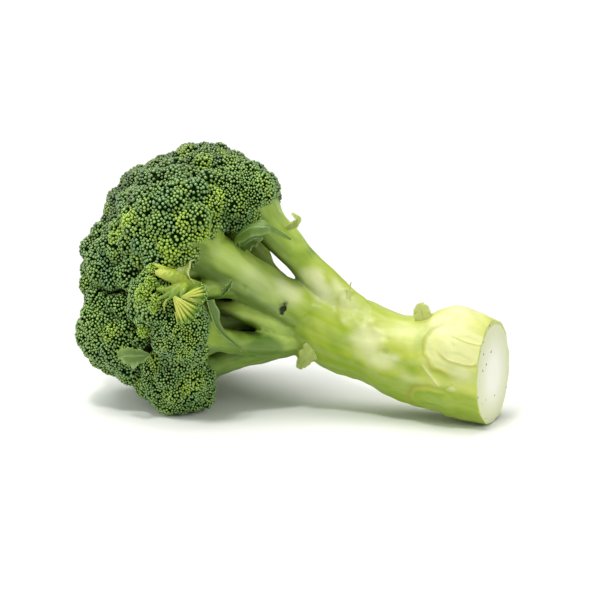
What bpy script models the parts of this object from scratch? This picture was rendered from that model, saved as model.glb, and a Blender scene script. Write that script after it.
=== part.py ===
"""A head of broccoli as cut, lying on its side: a stalk that forks into branches, bud crowns and leaves.

Row frame: metres, +Z up. The head rests on z = 0 on its lower crowns and on the rim of the cut. The stalk
runs along X, its cut end towards +X and the crowns towards -X. Places below are in millimetres.
"""

import math
from typing import NamedTuple

import bmesh
import bpy
from mathutils import Matrix, Vector, noise

MM = 0.001

# Driving dimensions.
CUT_X = 89.6  # where the knife went through the stalk's middle
CUT_LEAN_DEG = 1.0  # the cut looks up this far from level
CUT_YAW_DEG = 5.0  # and towards -Y this far from square
GAP = 0.4  # clear space between neighbouring crowns
SOCKET_GAP = 0.6  # clear space round a branch inside its crown
STALK_GRAIN = 1.5  # finest detail of the grown-together stalk
STALK_FACES = 2900
SPRIG_GRAIN = 0.9
SPRIG_FACES = 500
CROWN_SUBDIVISIONS = 3
CROWN_LUMP = 0.10  # height of the lumps on a crown, as a share of its radius
LUMP_PITCH = 11.0  # from lump to lump
UNDERSIDE = 0.5  # a crown's depth behind its middle, as a share of its radius
LEAF_THICKNESS = 0.9

# The point that all crowns look away from, where the stalk forks.
FORK = Vector((16.0, 0.0, 40.0))

# The stalk's line from beyond the cut to the fork: place and radius.
TRUNK = [
    ((105, 0, 20.6), 21.6),
    ((94, 0, 21.4), 22.4),
    ((84, 0, 23.4), 23.2),
    ((72, 0, 26.2), 24.4),
    ((61, 0, 25.6), 21.8),
    ((47, 0, 27.4), 18.8),
    ((33, 0, 31.6), 17.6),
    ((20, 0, 35.8), 17.8),
    ((8, 0, 40.5), 17.0),
    ((-6, 0, 46.0), 12.0),
]

TRUNK_WAY = Vector((-1, 0, 0.25)).normalized()

# Torn leaf bases on the stalk: place, way they point, length and radius.
LEAF_STUBS = [
    ((56, -8, 46), (-0.6, 0.1, 0.8), 5.0, 2.6),
    ((0, -7, 26), (0.3, -0.3, -0.9), 7.0, 3.2),
    ((22, -3, 52), (0.2, 0.0, 1.0), 4.0, 2.4),
    ((-12, -12, 92), (0.8, 0.0, 0.5), 8.0, 2.2),
    ((44, 16, 36), (-0.4, 0.8, 0.4), 5.0, 3.0),
]


class Crown(NamedTuple):
    """A dome of buds round centre, and its branch, which leaves the stalk's line at leaves_x.

    The branch ends by the crown's middle, moved by entry, and swings aside by sweep on its way.
    """

    name: str
    centre: tuple
    radius: float
    leaves_x: float
    root_radius: float
    tip_radius: float
    entry: tuple = (0, 0, 0)
    sweep: tuple = (0, 0, 0)


CROWNS = [
    Crown("crown_end", (-85, 4, 46), 21, 14, 8.0, 9.0, sweep=(0, 0, 6)),
    Crown("crown_end_upper", (-65.5, -5, 87), 23, 16, 7.0, 8.0),
    Crown("crown_end_front", (-74, -22, 66), 22, 14, 7.5, 8.5, sweep=(0, 0, 3)),
    Crown("crown_end_rear", (-76, 24, 64), 22, 14, 7.5, 8.5),
    Crown("crown_upper_front", (-49, -27, 84), 27, 26, 12.0, 14.0, entry=(6, -2, -9)),
    Crown("crown_top", (-44.5, 0, 98.5), 20, 30, 7.5, 8.0, sweep=(-7, 0, -6.5)),
    Crown("crown_upper_right", (-20, -8, 97.5), 16, 48, 9.0, 7.5, sweep=(2, 0, 2)),
    Crown("crown_front_middle", (-49, -46, 55), 13, 20, 6.0, 6.0, sweep=(0, 0, 8)),
    Crown("crown_front_inner", (-37, -44, 41), 14.5, 22, 6.0, 6.5, sweep=(0, 4, -10)),
    Crown("crown_lower_left", (-74, -26, 36), 22.5, 16, 7.0, 7.5, sweep=(0, 0, 4)),
    Crown("crown_lower_front", (-47, -26, 18.5), 21, 24, 8.0, 8.0),
    Crown("crown_lower_middle", (-60, -1, 16), 16, 20, 5.5, 6.5, sweep=(0, 0, -3)),
    Crown("crown_lower_end", (-79, 0, 23), 19, 16, 7.0, 8.0, sweep=(0, 0, -6)),
    Crown("crown_lower_rear", (-63, 24, 18.0), 19, 22, 7.5, 8.0, sweep=(0, 4, -4)),
    Crown("crown_rear_low", (-60, 43, 38), 20, 20, 7.5, 8.5),
    Crown("crown_rear_middle", (-48, 43, 61), 19, 22, 7.5, 8.5),
    Crown("crown_rear_upper", (-54, 28, 86), 25, 24, 9.0, 10.0, sweep=(-6, 0, -6)),
    Crown("crown_rear_right", (-30, 22, 88), 14, 34, 7.0, 7.0, sweep=(5, 0, 4)),
]


class Leaf(NamedTuple):
    """A small leaf: midrib from base to tip, full widths along it, the way it faces, and how far it cups."""

    name: str
    midrib: list
    widths: list
    face: tuple
    cup: float


LEAVES = [
    Leaf(
        "leaf_upper",
        [(-1, -16, 80), (-11, -23, 86), (-21, -26, 83)],
        [4, 11, 4], (0.2, -0.8, 0.6), 0.35,
    ),
    Leaf(
        "leaf_upper_inner",
        [(-6, -14, 68), (-12, -14, 74), (-17, -15, 79)],
        [3, 8, 3], (0.3, -0.8, 0.3), 0.3,
    ),
    Leaf(
        "leaf_fork_small",
        [(-19, -31, 61), (-22, -34, 57), (-25, -36, 52)],
        [2.5, 5, 1.5], (0.1, -1, 0.2), 0.2,
    ),
    Leaf(
        "leaf_fork_long",
        [(-17, -32, 29), (-20, -43, 42), (-23, -52, 53)],
        [1.5, 4, 2], (0.5, -0.8, 0.2), 0.2,
    ),
    Leaf(
        "leaf_lower_left",
        [(-53, -52, 31), (-60, -53.5, 32), (-67, -53.5, 31.5)],
        [6, 10, 5], (0, -1, -0.1), 0.1,
    ),
    Leaf(
        "leaf_curl",
        [(-1, -15, 87), (2, -15, 89.5), (-0.5, -15, 93)],
        [2.5, 4, 2], (0.8, -0.4, 0.2), 0.4,
    ),
    Leaf(
        "leaf_rear",
        [(2, 21, 41), (-11, 30, 44), (-24, 35, 49)],
        [3, 9, 3], (0.4, 0.8, 0.4), 0.3,
    ),
]

# A small crown broken open at the front: where it grows from and where its sprigs end.
SPRIG_ROOT = (-24, -50, 60)
SPRIG_TIPS = [(-36, -59, 62), (-38, -61, 53), (-34, -62, 47), (-30, -61, 48), (-26, -59, 52), (-25, -57, 59)]


def clear_scene():
    for old in list(bpy.data.objects):
        bpy.data.objects.remove(old)


def collection(name):
    made = bpy.data.collections.new(name)
    bpy.context.scene.collection.children.link(made)
    return made


def material(name, colour, roughness):
    made = bpy.data.materials.new(name)
    made.use_nodes = True
    shader = made.node_tree.nodes["Principled BSDF"]
    shader.inputs["Base Color"].default_value = (*colour, 1.0)
    shader.inputs["Roughness"].default_value = roughness
    shader.inputs["Metallic"].default_value = 0.0
    return made


def object_from(mesh, name, into, finish=None):
    made = bpy.data.objects.new(name, mesh)
    into.objects.link(made)
    if finish:
        mesh.materials.clear()
        mesh.materials.append(finish)
    return made


def as_mesh(source, name, into):
    """The evaluated shape of source as a plain mesh object. source is removed."""
    graph = bpy.context.evaluated_depsgraph_get()
    mesh = bpy.data.meshes.new_from_object(source.evaluated_get(graph))
    mesh.transform(source.matrix_world)
    made = object_from(mesh, name, into)
    bpy.data.objects.remove(source)
    shape = bmesh.new()
    shape.from_mesh(mesh)
    bmesh.ops.remove_doubles(shape, verts=shape.verts, dist=0.02 * MM)
    shape.to_mesh(mesh)
    shape.free()
    return made


def tube(points, radii, into):
    """A closed round tube along points, with a radius at each."""
    line = bpy.data.curves.new("tube", "CURVE")
    line.dimensions = "3D"
    line.bevel_depth = 1.0
    line.bevel_resolution = 4
    line.use_fill_caps = True
    spline = line.splines.new("POLY")
    spline.points.add(len(points) - 1)
    for knot, place, radius in zip(spline.points, points, radii):
        knot.co = (*(Vector(place) * MM), 1.0)
        knot.radius = radius * MM
    made = bpy.data.objects.new("tube", line)
    into.objects.link(made)
    bpy.context.view_layer.update()
    return as_mesh(made, "tube", into)


def smooth_path(knots, steps):
    """Rows of numbers on a Catmull-Rom curve through knots, each a row of numbers itself."""
    rows = [Vector(knot) for knot in knots]
    rows = [2 * rows[0] - rows[1], *rows, 2 * rows[-1] - rows[-2]]
    path = []
    for i in range(len(knots) - 1):
        for step in range(steps):
            t = step / steps
            weights = (
                (-t + 2 * t**2 - t**3) / 2,
                (2 - 5 * t**2 + 3 * t**3) / 2,
                (t + 4 * t**2 - 3 * t**3) / 2,
                (-(t**2) + t**3) / 2,
            )
            nothing = Vector([0] * len(knots[0]))
            path.append(sum((w * row for w, row in zip(weights, rows[i : i + 4])), nothing))
    return [*path, rows[-2]]


def trunk_path():
    """The stalk's line as rows of x, y, z and radius."""
    return smooth_path([(*place, radius) for place, radius in TRUNK], 5)


def crown_axis(crown):
    """The way a crown faces, away from the fork."""
    return (Vector(crown.centre) - FORK).normalized()


def branch_path(crown, steps=14):
    """Points and radii on a curve that leaves along the stalk and enters the crown along its axis."""
    row = min(trunk_path(), key=lambda knot: abs(knot[0] - crown.leaves_x))
    start = Vector(row[:3])
    end = Vector(crown.centre) + Vector(crown.entry) - crown_axis(crown) * crown.radius * 0.1
    reach = (end - start).length
    first = start + (TRUNK_WAY + crown_axis(crown)).normalized() * reach * 0.35 + Vector(crown.sweep)
    second = end - crown_axis(crown) * reach * 0.3 + Vector(crown.sweep)
    points, radii = [], []
    for step in range(steps + 1):
        t = step / steps
        s = 1 - t
        points.append(s**3 * start + 3 * s * s * t * first + 3 * s * t * t * second + t**3 * end)
        waist = 1 - 0.16 * math.sin(math.pi * t)
        radii.append((s * crown.root_radius + t * crown.tip_radius) * waist)
    return points, radii


def cut_by_plane(target, place, normal):
    """Takes away what lies past the plane on its normal's side, and closes the cut with a flat face."""
    shape = bmesh.new()
    shape.from_mesh(target.data)
    whole = shape.verts[:] + shape.edges[:] + shape.faces[:]
    cut = bmesh.ops.bisect_plane(
        shape, geom=whole, dist=1e-7, plane_co=Vector(place) * MM, plane_no=normal, clear_outer=True
    )
    rim = [item for item in cut["geom_cut"] if isinstance(item, bmesh.types.BMEdge)]
    if rim:
        bmesh.ops.triangle_fill(shape, use_beauty=True, use_dissolve=True, edges=rim)
        bmesh.ops.recalc_face_normals(shape, faces=shape.faces)
    shape.to_mesh(target.data)
    shape.free()


def grown_together(parts, name, grain, faces, into):
    """One closed skin round overlapping tubes, softened where they join and thinned to about faces."""
    shape = bmesh.new()
    for part in parts:
        shape.from_mesh(part.data)
        bpy.data.objects.remove(part)
    mesh = bpy.data.meshes.new(name)
    shape.to_mesh(mesh)
    shape.free()
    made = object_from(mesh, name, into)
    skin = made.modifiers.new("skin", "REMESH")
    skin.mode = "VOXEL"
    skin.voxel_size = grain * MM
    soften = made.modifiers.new("soften", "SMOOTH")
    soften.factor = 0.5
    soften.iterations = 10
    made = as_mesh(made, name, into)
    thin = made.modifiers.new("thin", "DECIMATE")
    thin.ratio = faces / sum(len(face.vertices) - 2 for face in made.data.polygons)
    return as_mesh(made, name, into)


def swollen(source, name, margin, into):
    """A hidden cutter: source grown by margin all round."""
    made = object_from(source.data.copy(), name, into)
    swell = made.modifiers.new("swell", "DISPLACE")
    swell.mid_level = 0.0
    swell.strength = margin * MM
    made = as_mesh(made, name, into)
    made.hide_render = True
    made.display_type = "WIRE"
    return made


def subtract(target, cutter):
    hollow = target.modifiers.new(cutter.name, "BOOLEAN")
    hollow.operation = "DIFFERENCE"
    hollow.object = cutter
    hollow.solver = "EXACT"


def make_stalk(into, helpers, finish):
    """The stalk with its branches, grown as one piece, cut flat at its end and flat where it rests."""
    trunk = trunk_path()
    parts = [tube([row[:3] for row in trunk], [row[3] for row in trunk], helpers)]
    parts += [tube(*branch_path(crown), helpers) for crown in CROWNS]
    for place, way, length, radius in LEAF_STUBS:
        base, tip = Vector(place), Vector(place) + Vector(way).normalized() * length
        parts.append(tube([base, tip], [radius, radius * 0.6], helpers))
    stalk = grown_together(parts, "stalk", STALK_GRAIN, STALK_FACES, into)
    lean, yaw = math.radians(CUT_LEAN_DEG), math.radians(CUT_YAW_DEG)
    outward = Vector((math.cos(lean) * math.cos(yaw), -math.cos(lean) * math.sin(yaw), math.sin(lean)))
    cut_by_plane(stalk, (CUT_X, 0, TRUNK[1][0][2]), outward)
    cut_by_plane(stalk, (0, 0, 0), Vector((0, 0, -1)))
    stalk.data.materials.clear()
    stalk.data.materials.append(finish)
    return stalk


def make_broken_floret(into, helpers, finish):
    """The small crown broken open at the front, as a fan of sprigs on one stub."""
    root = Vector(SPRIG_ROOT)
    parts = []
    for tip in SPRIG_TIPS:
        end = Vector(tip)
        bend = root.lerp(end, 0.5) + Vector((0, -1.5, 0.5))
        parts.append(tube([root, bend, end], [2.6, 1.8, 2.6], helpers))
    made = grown_together(parts, "broken_floret", SPRIG_GRAIN, SPRIG_FACES, into)
    made.data.materials.clear()
    made.data.materials.append(finish)
    return made


def crown_dome(crown):
    """A sphere, flatter behind its middle, with lumps of an even pitch from smooth noise."""
    shape = bmesh.new()
    bmesh.ops.create_icosphere(shape, subdivisions=CROWN_SUBDIVISIONS, radius=1.0)
    axis, centre = crown_axis(crown), Vector(crown.centre)
    for vertex in shape.verts:
        out = vertex.co.normalized()
        behind = min(out.dot(axis), 0.0)
        lump = noise.noise((centre + out * crown.radius) / LUMP_PITCH)
        place = out * crown.radius * (1 + CROWN_LUMP * lump)
        place -= axis * behind * crown.radius * (1 - UNDERSIDE)
        vertex.co = (centre + place) * MM
    mesh = bpy.data.meshes.new(crown.name)
    shape.to_mesh(mesh)
    shape.free()
    return mesh


def meeting_plane(crown, other):
    """Where two crowns press together: the plane of equal power to both spheres, set back by half the gap."""
    a, b = Vector(crown.centre), Vector(other.centre)
    apart = (b - a).length
    normal = (b - a) / apart
    share = (apart**2 + crown.radius**2 - other.radius**2) / (2 * apart)
    return a + normal * (share - GAP / 2), normal


def make_crowns(rooms, into, finish):
    """Each crown, trimmed where it meets its neighbours and the surface, hollow round what grows into it."""
    for crown in CROWNS:
        made = object_from(crown_dome(crown), crown.name, into, finish)
        for other in CROWNS:
            apart = (Vector(crown.centre) - Vector(other.centre)).length
            if other is not crown and apart < 1.2 * (crown.radius + other.radius):
                cut_by_plane(made, *meeting_plane(crown, other))
        cut_by_plane(made, (0, 0, 0), Vector((0, 0, -1)))
        for room in rooms:
            subtract(made, room)


def make_leaf(leaf, into, finish):
    """A grid bent along the midrib, wide in its middle and cupped, then given its thickness."""
    along, across = 8, 4
    path = smooth_path([(*place, width) for place, width in zip(leaf.midrib, leaf.widths)], along // 2)
    shape = bmesh.new()
    bmesh.ops.create_grid(shape, x_segments=along, y_segments=across, size=1.0)
    for vertex in shape.verts:
        step = round((vertex.co.x + 1) / 2 * along)
        here, ahead, behind = path[step], path[min(step + 1, along)], path[max(step - 1, 0)]
        run = (ahead.xyz - behind.xyz).normalized()
        side = run.cross(Vector(leaf.face)).normalized()
        up = side.cross(run)
        half = here[3] / 2
        v = vertex.co.y
        vertex.co = (here.xyz + side * v * half + up * leaf.cup * half * v * v) * MM
    mesh = bpy.data.meshes.new(leaf.name)
    shape.to_mesh(mesh)
    shape.free()
    made = object_from(mesh, leaf.name, into, finish)
    body = made.modifiers.new("thickness", "SOLIDIFY")
    body.thickness = LEAF_THICKNESS * MM
    body.offset = 0.0


def stand_on_origin(pieces, everything):
    """Moves everything by one empty, so that the origin is under the middle of the pieces."""
    graph = bpy.context.evaluated_depsgraph_get()
    corners = [Vector(corner) for piece in pieces for corner in piece.evaluated_get(graph).bound_box]
    lowest = Vector([min(corner[i] for corner in corners) for i in range(3)])
    highest = Vector([max(corner[i] for corner in corners) for i in range(3)])
    middle = (lowest + highest) / 2
    stand = bpy.data.objects.new("stand", None)
    bpy.context.scene.collection.objects.link(stand)
    stand.location = (-middle.x, -middle.y, 0)
    for item in everything:
        item.parent = stand


def main():
    clear_scene()
    head = collection("broccoli_head")
    helpers = collection("helpers")
    helpers.hide_render = True
    skin = material("stalk_skin", (0.42, 0.52, 0.16), 0.45)
    buds = material("crown_buds", (0.06, 0.14, 0.04), 0.6)
    young = material("young_buds", (0.55, 0.55, 0.08), 0.55)
    leaf_green = material("leaf_green", (0.16, 0.28, 0.13), 0.5)
    stalk = make_stalk(head, helpers, skin)
    broken = make_broken_floret(head, helpers, young)
    rooms = [swollen(stalk, "room_for_stalk", SOCKET_GAP, helpers)]
    rooms.append(swollen(broken, "room_for_broken_floret", SOCKET_GAP, helpers))
    make_crowns(rooms, head, buds)
    for leaf in LEAVES:
        make_leaf(leaf, head, leaf_green)
    stand_on_origin(head.objects, [*head.objects, *helpers.objects])


main()
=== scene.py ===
"""The looks of a head of broccoli that lies on its side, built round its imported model.

Lengths are in millimetres in the growing frame, whose X axis is the line of the stalk: the cut end is
towards +X and the crowns towards -X. in_row() moves a place to the row frame and to metres, and every mesh
passes through it.
"""

import logging
import math
from dataclasses import dataclass, field
from enum import Enum
from functools import partial

import bmesh
import bpy
import numpy as np
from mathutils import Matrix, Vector


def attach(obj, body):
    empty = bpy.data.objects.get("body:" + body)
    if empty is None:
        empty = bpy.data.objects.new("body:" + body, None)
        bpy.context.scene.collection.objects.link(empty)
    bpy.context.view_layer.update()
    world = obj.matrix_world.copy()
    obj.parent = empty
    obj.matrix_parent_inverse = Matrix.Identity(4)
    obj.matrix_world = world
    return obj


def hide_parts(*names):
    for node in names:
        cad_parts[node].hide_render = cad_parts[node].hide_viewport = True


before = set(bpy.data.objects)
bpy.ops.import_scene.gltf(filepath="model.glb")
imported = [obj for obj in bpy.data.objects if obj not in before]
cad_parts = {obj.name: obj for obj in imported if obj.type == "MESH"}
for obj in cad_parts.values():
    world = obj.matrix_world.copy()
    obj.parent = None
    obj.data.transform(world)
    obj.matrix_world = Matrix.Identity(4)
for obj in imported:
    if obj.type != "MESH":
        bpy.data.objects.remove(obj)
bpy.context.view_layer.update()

log = logging.getLogger("broccoli_head")

MM = 0.001
STAND = np.array([6.84, 0.57, 0.0])  # from the growing frame to the row frame
GOLDEN_ANGLE = math.pi * (3.0 - math.sqrt(5.0))
FORK = np.array([16.0, 0.0, 40.0])  # where the stalk forks, and what every crown looks away from
TRUNK_WAY = np.array([-1.0, 0.0, 0.25]) / math.hypot(1.0, 0.25)
FULL_TURN = 6.28  # the angles that turns are drawn from
PACKING = 0.866  # the share of a square pitch that one of many evenly packed places takes up


class Slot(Enum):
    """The record's material slots."""

    STALK = "stalk"
    BUDS = "buds"
    YOUNG_BUDS = "young_buds"
    LEAF = "leaf"


# ---- Numbers and meshes ----


def in_row(places: np.ndarray) -> np.ndarray:
    """Places of the growing frame, in millimetres, as places of the row frame, in metres.

    Args:
        places: one place or rows of places.

    Returns:
        The same places moved by STAND and scaled.
    """
    return (np.asarray(places, float) + STAND) * MM


def unit(rows: np.ndarray) -> np.ndarray:
    """Rows of vectors scaled to length 1."""
    rows = np.asarray(rows, float)
    return rows / np.maximum(np.linalg.norm(rows, axis=-1, keepdims=True), 1e-12)


def smooth_step(low: float, high: float, values: np.ndarray) -> np.ndarray:
    """0 up to low and 1 from high on, along 3t^2 - 2t^3 between them."""
    t = np.clip((np.asarray(values, float) - low) / (high - low), 0.0, 1.0)
    return t * t * (3.0 - 2.0 * t)


def waves(places: np.ndarray, pitch: float, seed: int, count: int = 9) -> np.ndarray:
    """Smooth noise of about -1 to 1: the mean of sine waves that run in random directions.

    Args:
        places: rows of places.
        pitch: the mean wavelength, in the places' unit.
        seed: what the directions and phases are drawn from.
        count: the number of waves.

    Returns:
        One value a row.
    """
    draw = np.random.default_rng(seed)
    ways = unit(draw.normal(size=(count, 3))) * (2.0 * math.pi / pitch * draw.uniform(0.7, 1.4, (count, 1)))
    phases = draw.uniform(0.0, 2.0 * math.pi, count)
    return np.sin(places @ ways.T + phases).sum(1) / math.sqrt(count)


def smooth_rows(knots: np.ndarray, steps: int) -> np.ndarray:
    """Rows of numbers on a Catmull-Rom curve through knots.

    Between knots b and c, with a before and d after, a row is half of
    2b + (c - a)t + (2a - 5b + 4c - d)t^2 + (3b - a - 3c + d)t^3.

    Args:
        knots: rows of numbers, at least two.
        steps: rows from knot to knot.

    Returns:
        The rows, ending on the last knot.
    """
    knots = np.asarray(knots, float)
    knots = np.vstack([2 * knots[0] - knots[1], knots, 2 * knots[-1] - knots[-2]])
    a, b, c, d = (knots[i : len(knots) - 3 + i, None] for i in range(4))
    t = (np.arange(steps) / steps)[None, :, None]
    rows = (2 * b + (c - a) * t + (2 * a - 5 * b + 4 * c - d) * t**2 + (3 * b - a - 3 * c + d) * t**3) / 2
    return np.vstack([rows.reshape(-1, knots.shape[1]), knots[-2]])


def fibonacci_ways(count: int) -> np.ndarray:
    """Evenly spread directions: heights fall in even steps and each turns by the golden angle.

    Args:
        count: the number of directions.

    Returns:
        Rows of unit vectors.
    """
    step = np.arange(count) + 0.5
    height = 1.0 - 2.0 * step / count
    across = np.sqrt(1.0 - height**2)
    turn = step * GOLDEN_ANGLE
    return np.stack([across * np.cos(turn), across * np.sin(turn), height], 1)


def frames_on(ways: np.ndarray, turns: np.ndarray) -> np.ndarray:
    """Square frames whose third axis is a direction, and whose first is turned about it.

    Args:
        ways: rows of unit vectors.
        turns: one angle a row, in radians.

    Returns:
        An array of 3 x 3 matrices whose columns are the axes.
    """
    help_axis = np.where(np.abs(ways[:, 2:]) < 0.9, [[0.0, 0.0, 1.0]], [[1.0, 0.0, 0.0]])
    first = unit(np.cross(help_axis, ways))
    second = np.cross(ways, first)
    cos, sin = np.cos(turns)[:, None], np.sin(turns)[:, None]
    return np.stack([first * cos + second * sin, second * cos - first * sin, ways], 2)


def well_spaced(places: np.ndarray, gaps: np.ndarray, ranks: np.ndarray) -> np.ndarray:
    """Which rows stay when each, in order of rank, stays unless one that stays is nearer than their mean gap.

    Every round keeps the open rows with no open neighbour of lower rank, and drops those rows' neighbours.

    Args:
        places: rows of places.
        gaps: each row's least distance to another.
        ranks: each row's rank, all different.

    Returns:
        One truth value a row.
    """
    flat = places.astype(np.float32)
    squares = (flat**2).sum(1)
    apart = squares[:, None] + squares - 2.0 * flat @ flat.T
    reach = gaps.astype(np.float32) / 2.0
    near = apart < (reach[:, None] + reach) ** 2
    np.fill_diagonal(near, False)
    first, second = np.nonzero(near)
    stays = np.zeros(len(places), bool)
    is_open = np.ones(len(places), bool)
    while is_open.any():
        live = is_open[first] & is_open[second]
        first, second = first[live], second[live]
        blocked = np.zeros(len(places), bool)
        blocked[first[ranks[first] > ranks[second]]] = True
        chosen = is_open & ~blocked
        stays |= chosen
        is_open &= ~chosen
        is_open[second[chosen[first]]] = False
    return stays


def swept(rows: np.ndarray, sides: int = 14) -> tuple:
    """A closed round tube: a circle of each row's radius, square to the line, and a point at each end.

    Args:
        rows: rows of x, y, z and radius.
        sides: faces round the tube.

    Returns:
        Points, corners and face lengths.
    """
    line, radii = rows[:, :3], rows[:, 3]
    ways = unit(np.gradient(line, axis=0))
    helps = unit(np.array([[1, 0, 0], [0, 1, 0], [0, 0, 1], [1, 1, 0], [0, 1, 1], [1, 0, 1]], float))
    help_axis = helps[np.argmin(np.abs(ways @ helps.T).max(0))]
    across = unit(np.cross(ways, help_axis))
    up = np.cross(ways, across)
    turn = np.arange(sides) * 2.0 * math.pi / sides
    ring = across[:, None] * np.cos(turn)[:, None] + up[:, None] * np.sin(turn)[:, None]
    points = (line[:, None] + ring * radii[:, None, None]).reshape(-1, 3)
    ends = np.stack([line[0] - ways[0] * radii[0] * 0.5, line[-1] + ways[-1] * radii[-1] * 0.5])
    side = np.arange(sides)
    after = (side + 1) % sides
    low = (np.arange(len(rows) - 1) * sides)[:, None]
    bands = np.stack([low + side, low + after, low + sides + after, low + sides + side], 2).reshape(-1, 4)
    last = (len(rows) - 1) * sides
    start_fan = np.stack([0 * side + len(points), after, side], 1)
    end_fan = np.stack([0 * side + len(points) + 1, last + side, last + after], 1)
    corners = np.concatenate([bands.ravel(), start_fan.ravel(), end_fan.ravel()])
    sizes = np.concatenate([np.full(len(bands), 4), np.full(2 * sides, 3)])
    return np.vstack([points, ends]), corners, sizes


def bezier(knots: np.ndarray, steps: int) -> np.ndarray:
    """A cubic curve of four knots: s^3 a + 3s^2t b + 3st^2 c + t^3 d, with s = 1 - t.

    Args:
        knots: the places a, b, c and d.
        steps: the number of steps along it.

    Returns:
        Rows of places, from a to d.
    """
    t = np.linspace(0.0, 1.0, steps + 1)[:, None]
    s = 1.0 - t
    a, b, c, d = np.asarray(knots, float)
    return s**3 * a + 3 * s**2 * t * b + 3 * s * t**2 * c + t**3 * d


@dataclass
class Shape:
    """Points, faces and what is painted on the points, in the growing frame.

    corners is a flat run of the faces' points and sizes the number of them in each face. uv is a place on the
    bake's map for each corner, and slots the material slot of each face.
    """

    points: np.ndarray
    corners: np.ndarray
    sizes: np.ndarray
    uv: np.ndarray | None = None
    paint: dict = field(default_factory=dict)
    slots: np.ndarray | None = None


def joined(shapes: list) -> Shape:
    """Several shapes as one, with the paints that all of them have.

    Args:
        shapes: what is joined.

    Returns:
        One shape. It has a map and slots only if all of them do.
    """
    starts = np.cumsum([0] + [len(shape.points) for shape in shapes[:-1]])
    paints = set.intersection(*[set(shape.paint) for shape in shapes])
    with_uv = all(shape.uv is not None for shape in shapes)
    with_slots = all(shape.slots is not None for shape in shapes)
    return Shape(
        np.vstack([shape.points for shape in shapes]),
        np.concatenate([shape.corners + start for shape, start in zip(shapes, starts)]),
        np.concatenate([shape.sizes for shape in shapes]),
        np.vstack([shape.uv for shape in shapes]) if with_uv else None,
        {name: np.concatenate([shape.paint[name] for shape in shapes]) for name in sorted(paints)},
        np.concatenate([shape.slots for shape in shapes]) if with_slots else None,
    )


def sheet(points: np.ndarray, paint: dict, flipped: bool = False) -> Shape:
    """A grid of points as one sheet of four-cornered faces.

    Args:
        points: rows by columns by 3.
        paint: values by name, which spread over rows and columns.
        flipped: whether it looks the other way.

    Returns:
        The sheet.
    """
    rows, columns = points.shape[:2]
    row, column = np.meshgrid(np.arange(rows - 1), np.arange(columns - 1), indexing="ij")
    low = (row * columns + column).ravel()
    corners = np.stack([low, low + columns, low + columns + 1, low + 1], 1)
    if flipped:
        corners = corners[:, [0, 3, 2, 1]]
    spread = {name: np.broadcast_to(values, (rows, columns)).ravel() for name, values in paint.items()}
    return Shape(points.reshape(-1, 3), corners.ravel(), np.full(len(low), 4), None, spread)


def paint_on(mesh: bpy.types.Mesh, paint: dict) -> None:
    """Writes paints into a mesh as attributes of its points.

    Args:
        mesh: what is painted.
        paint: values for each point, by name.
    """
    for name, values in paint.items():
        kind, key = ("FLOAT_VECTOR", "vector") if values.ndim == 2 else ("FLOAT", "value")
        mesh.attributes.new(name, kind, "POINT").data.foreach_set(key, values.astype(np.float32).ravel())


def mesh_of(shape: Shape, name: str) -> bpy.types.Mesh:
    """A smooth mesh in the row frame, with its paints as attributes and its map as OFBake.

    Args:
        shape: what it is made of.
        name: what it is called.

    Returns:
        The mesh.
    """
    mesh = bpy.data.meshes.new(name)
    mesh.vertices.add(len(shape.points))
    mesh.vertices.foreach_set("co", in_row(shape.points).astype(np.float32).ravel())
    mesh.loops.add(len(shape.corners))
    mesh.loops.foreach_set("vertex_index", shape.corners.astype(np.int32))
    mesh.polygons.add(len(shape.sizes))
    mesh.polygons.foreach_set("loop_start", (np.cumsum(shape.sizes) - shape.sizes).astype(np.int32))
    if shape.slots is not None:
        mesh.polygons.foreach_set("material_index", shape.slots.astype(np.int32))
    paint_on(mesh, shape.paint)
    if shape.uv is not None:
        layer = mesh.uv_layers.new(name="OFBake")
        layer.uv.foreach_set("vector", shape.uv.astype(np.float32).ravel())
    mesh.update(calc_edges=True)
    mesh.validate()
    mesh.shade_smooth()
    return mesh


def rows_of(mesh: bpy.types.Mesh, key: str) -> np.ndarray:
    """What a mesh's points say under "co" or "normal".

    Args:
        mesh: the mesh.
        key: which of the two.

    Returns:
        Rows of three.
    """
    found = np.empty(len(mesh.vertices) * 3, np.float32)
    mesh.vertices.foreach_get(key, found)
    return found.reshape(-1, 3).astype(float)


def places_of(mesh: bpy.types.Mesh) -> np.ndarray:
    """A mesh's points in the growing frame, in millimetres."""
    return rows_of(mesh, "co") / MM - STAND


def put(name: str, data: bpy.types.ID) -> bpy.types.Object:
    """Puts a new object into the scene.

    Args:
        name: what it is called.
        data: its mesh, light or camera.

    Returns:
        The object.
    """
    made = bpy.data.objects.new(name, data)
    bpy.context.scene.collection.objects.link(made)
    return made


def applied(made: bpy.types.Object) -> bpy.types.Mesh:
    """Applies an object's modifiers and takes the object away.

    Args:
        made: the object.

    Returns:
        Its mesh as the modifiers leave it.
    """
    mesh = bpy.data.meshes.new_from_object(made.evaluated_get(bpy.context.evaluated_depsgraph_get()))
    bpy.data.objects.remove(made)
    return mesh


def grown(shapes: list, name: str, grain: float, rounds: int) -> bpy.types.Mesh:
    """Shapes grown together: a voxel skin round them, softened where they meet.

    Args:
        shapes: closed shapes that run into each other.
        name: what the skin is called.
        grain: the skin's finest detail.
        rounds: how many times it is softened.

    Returns:
        The skin.
    """
    made = put(name, mesh_of(joined(shapes), name))
    skin = made.modifiers.new("grown", "REMESH")
    skin.mode = "VOXEL"
    skin.voxel_size = grain * MM
    soft = made.modifiers.new("soft", "SMOOTH")
    soft.iterations = rounds
    return applied(made)


def thicken(made: bpy.types.Object, thickness: float) -> None:
    """Gives a sheet its thickness in millimetres, half of it to each side."""
    body = made.modifiers.new("thickness", "SOLIDIFY")
    body.thickness, body.offset = thickness * MM, 0.0


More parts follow.
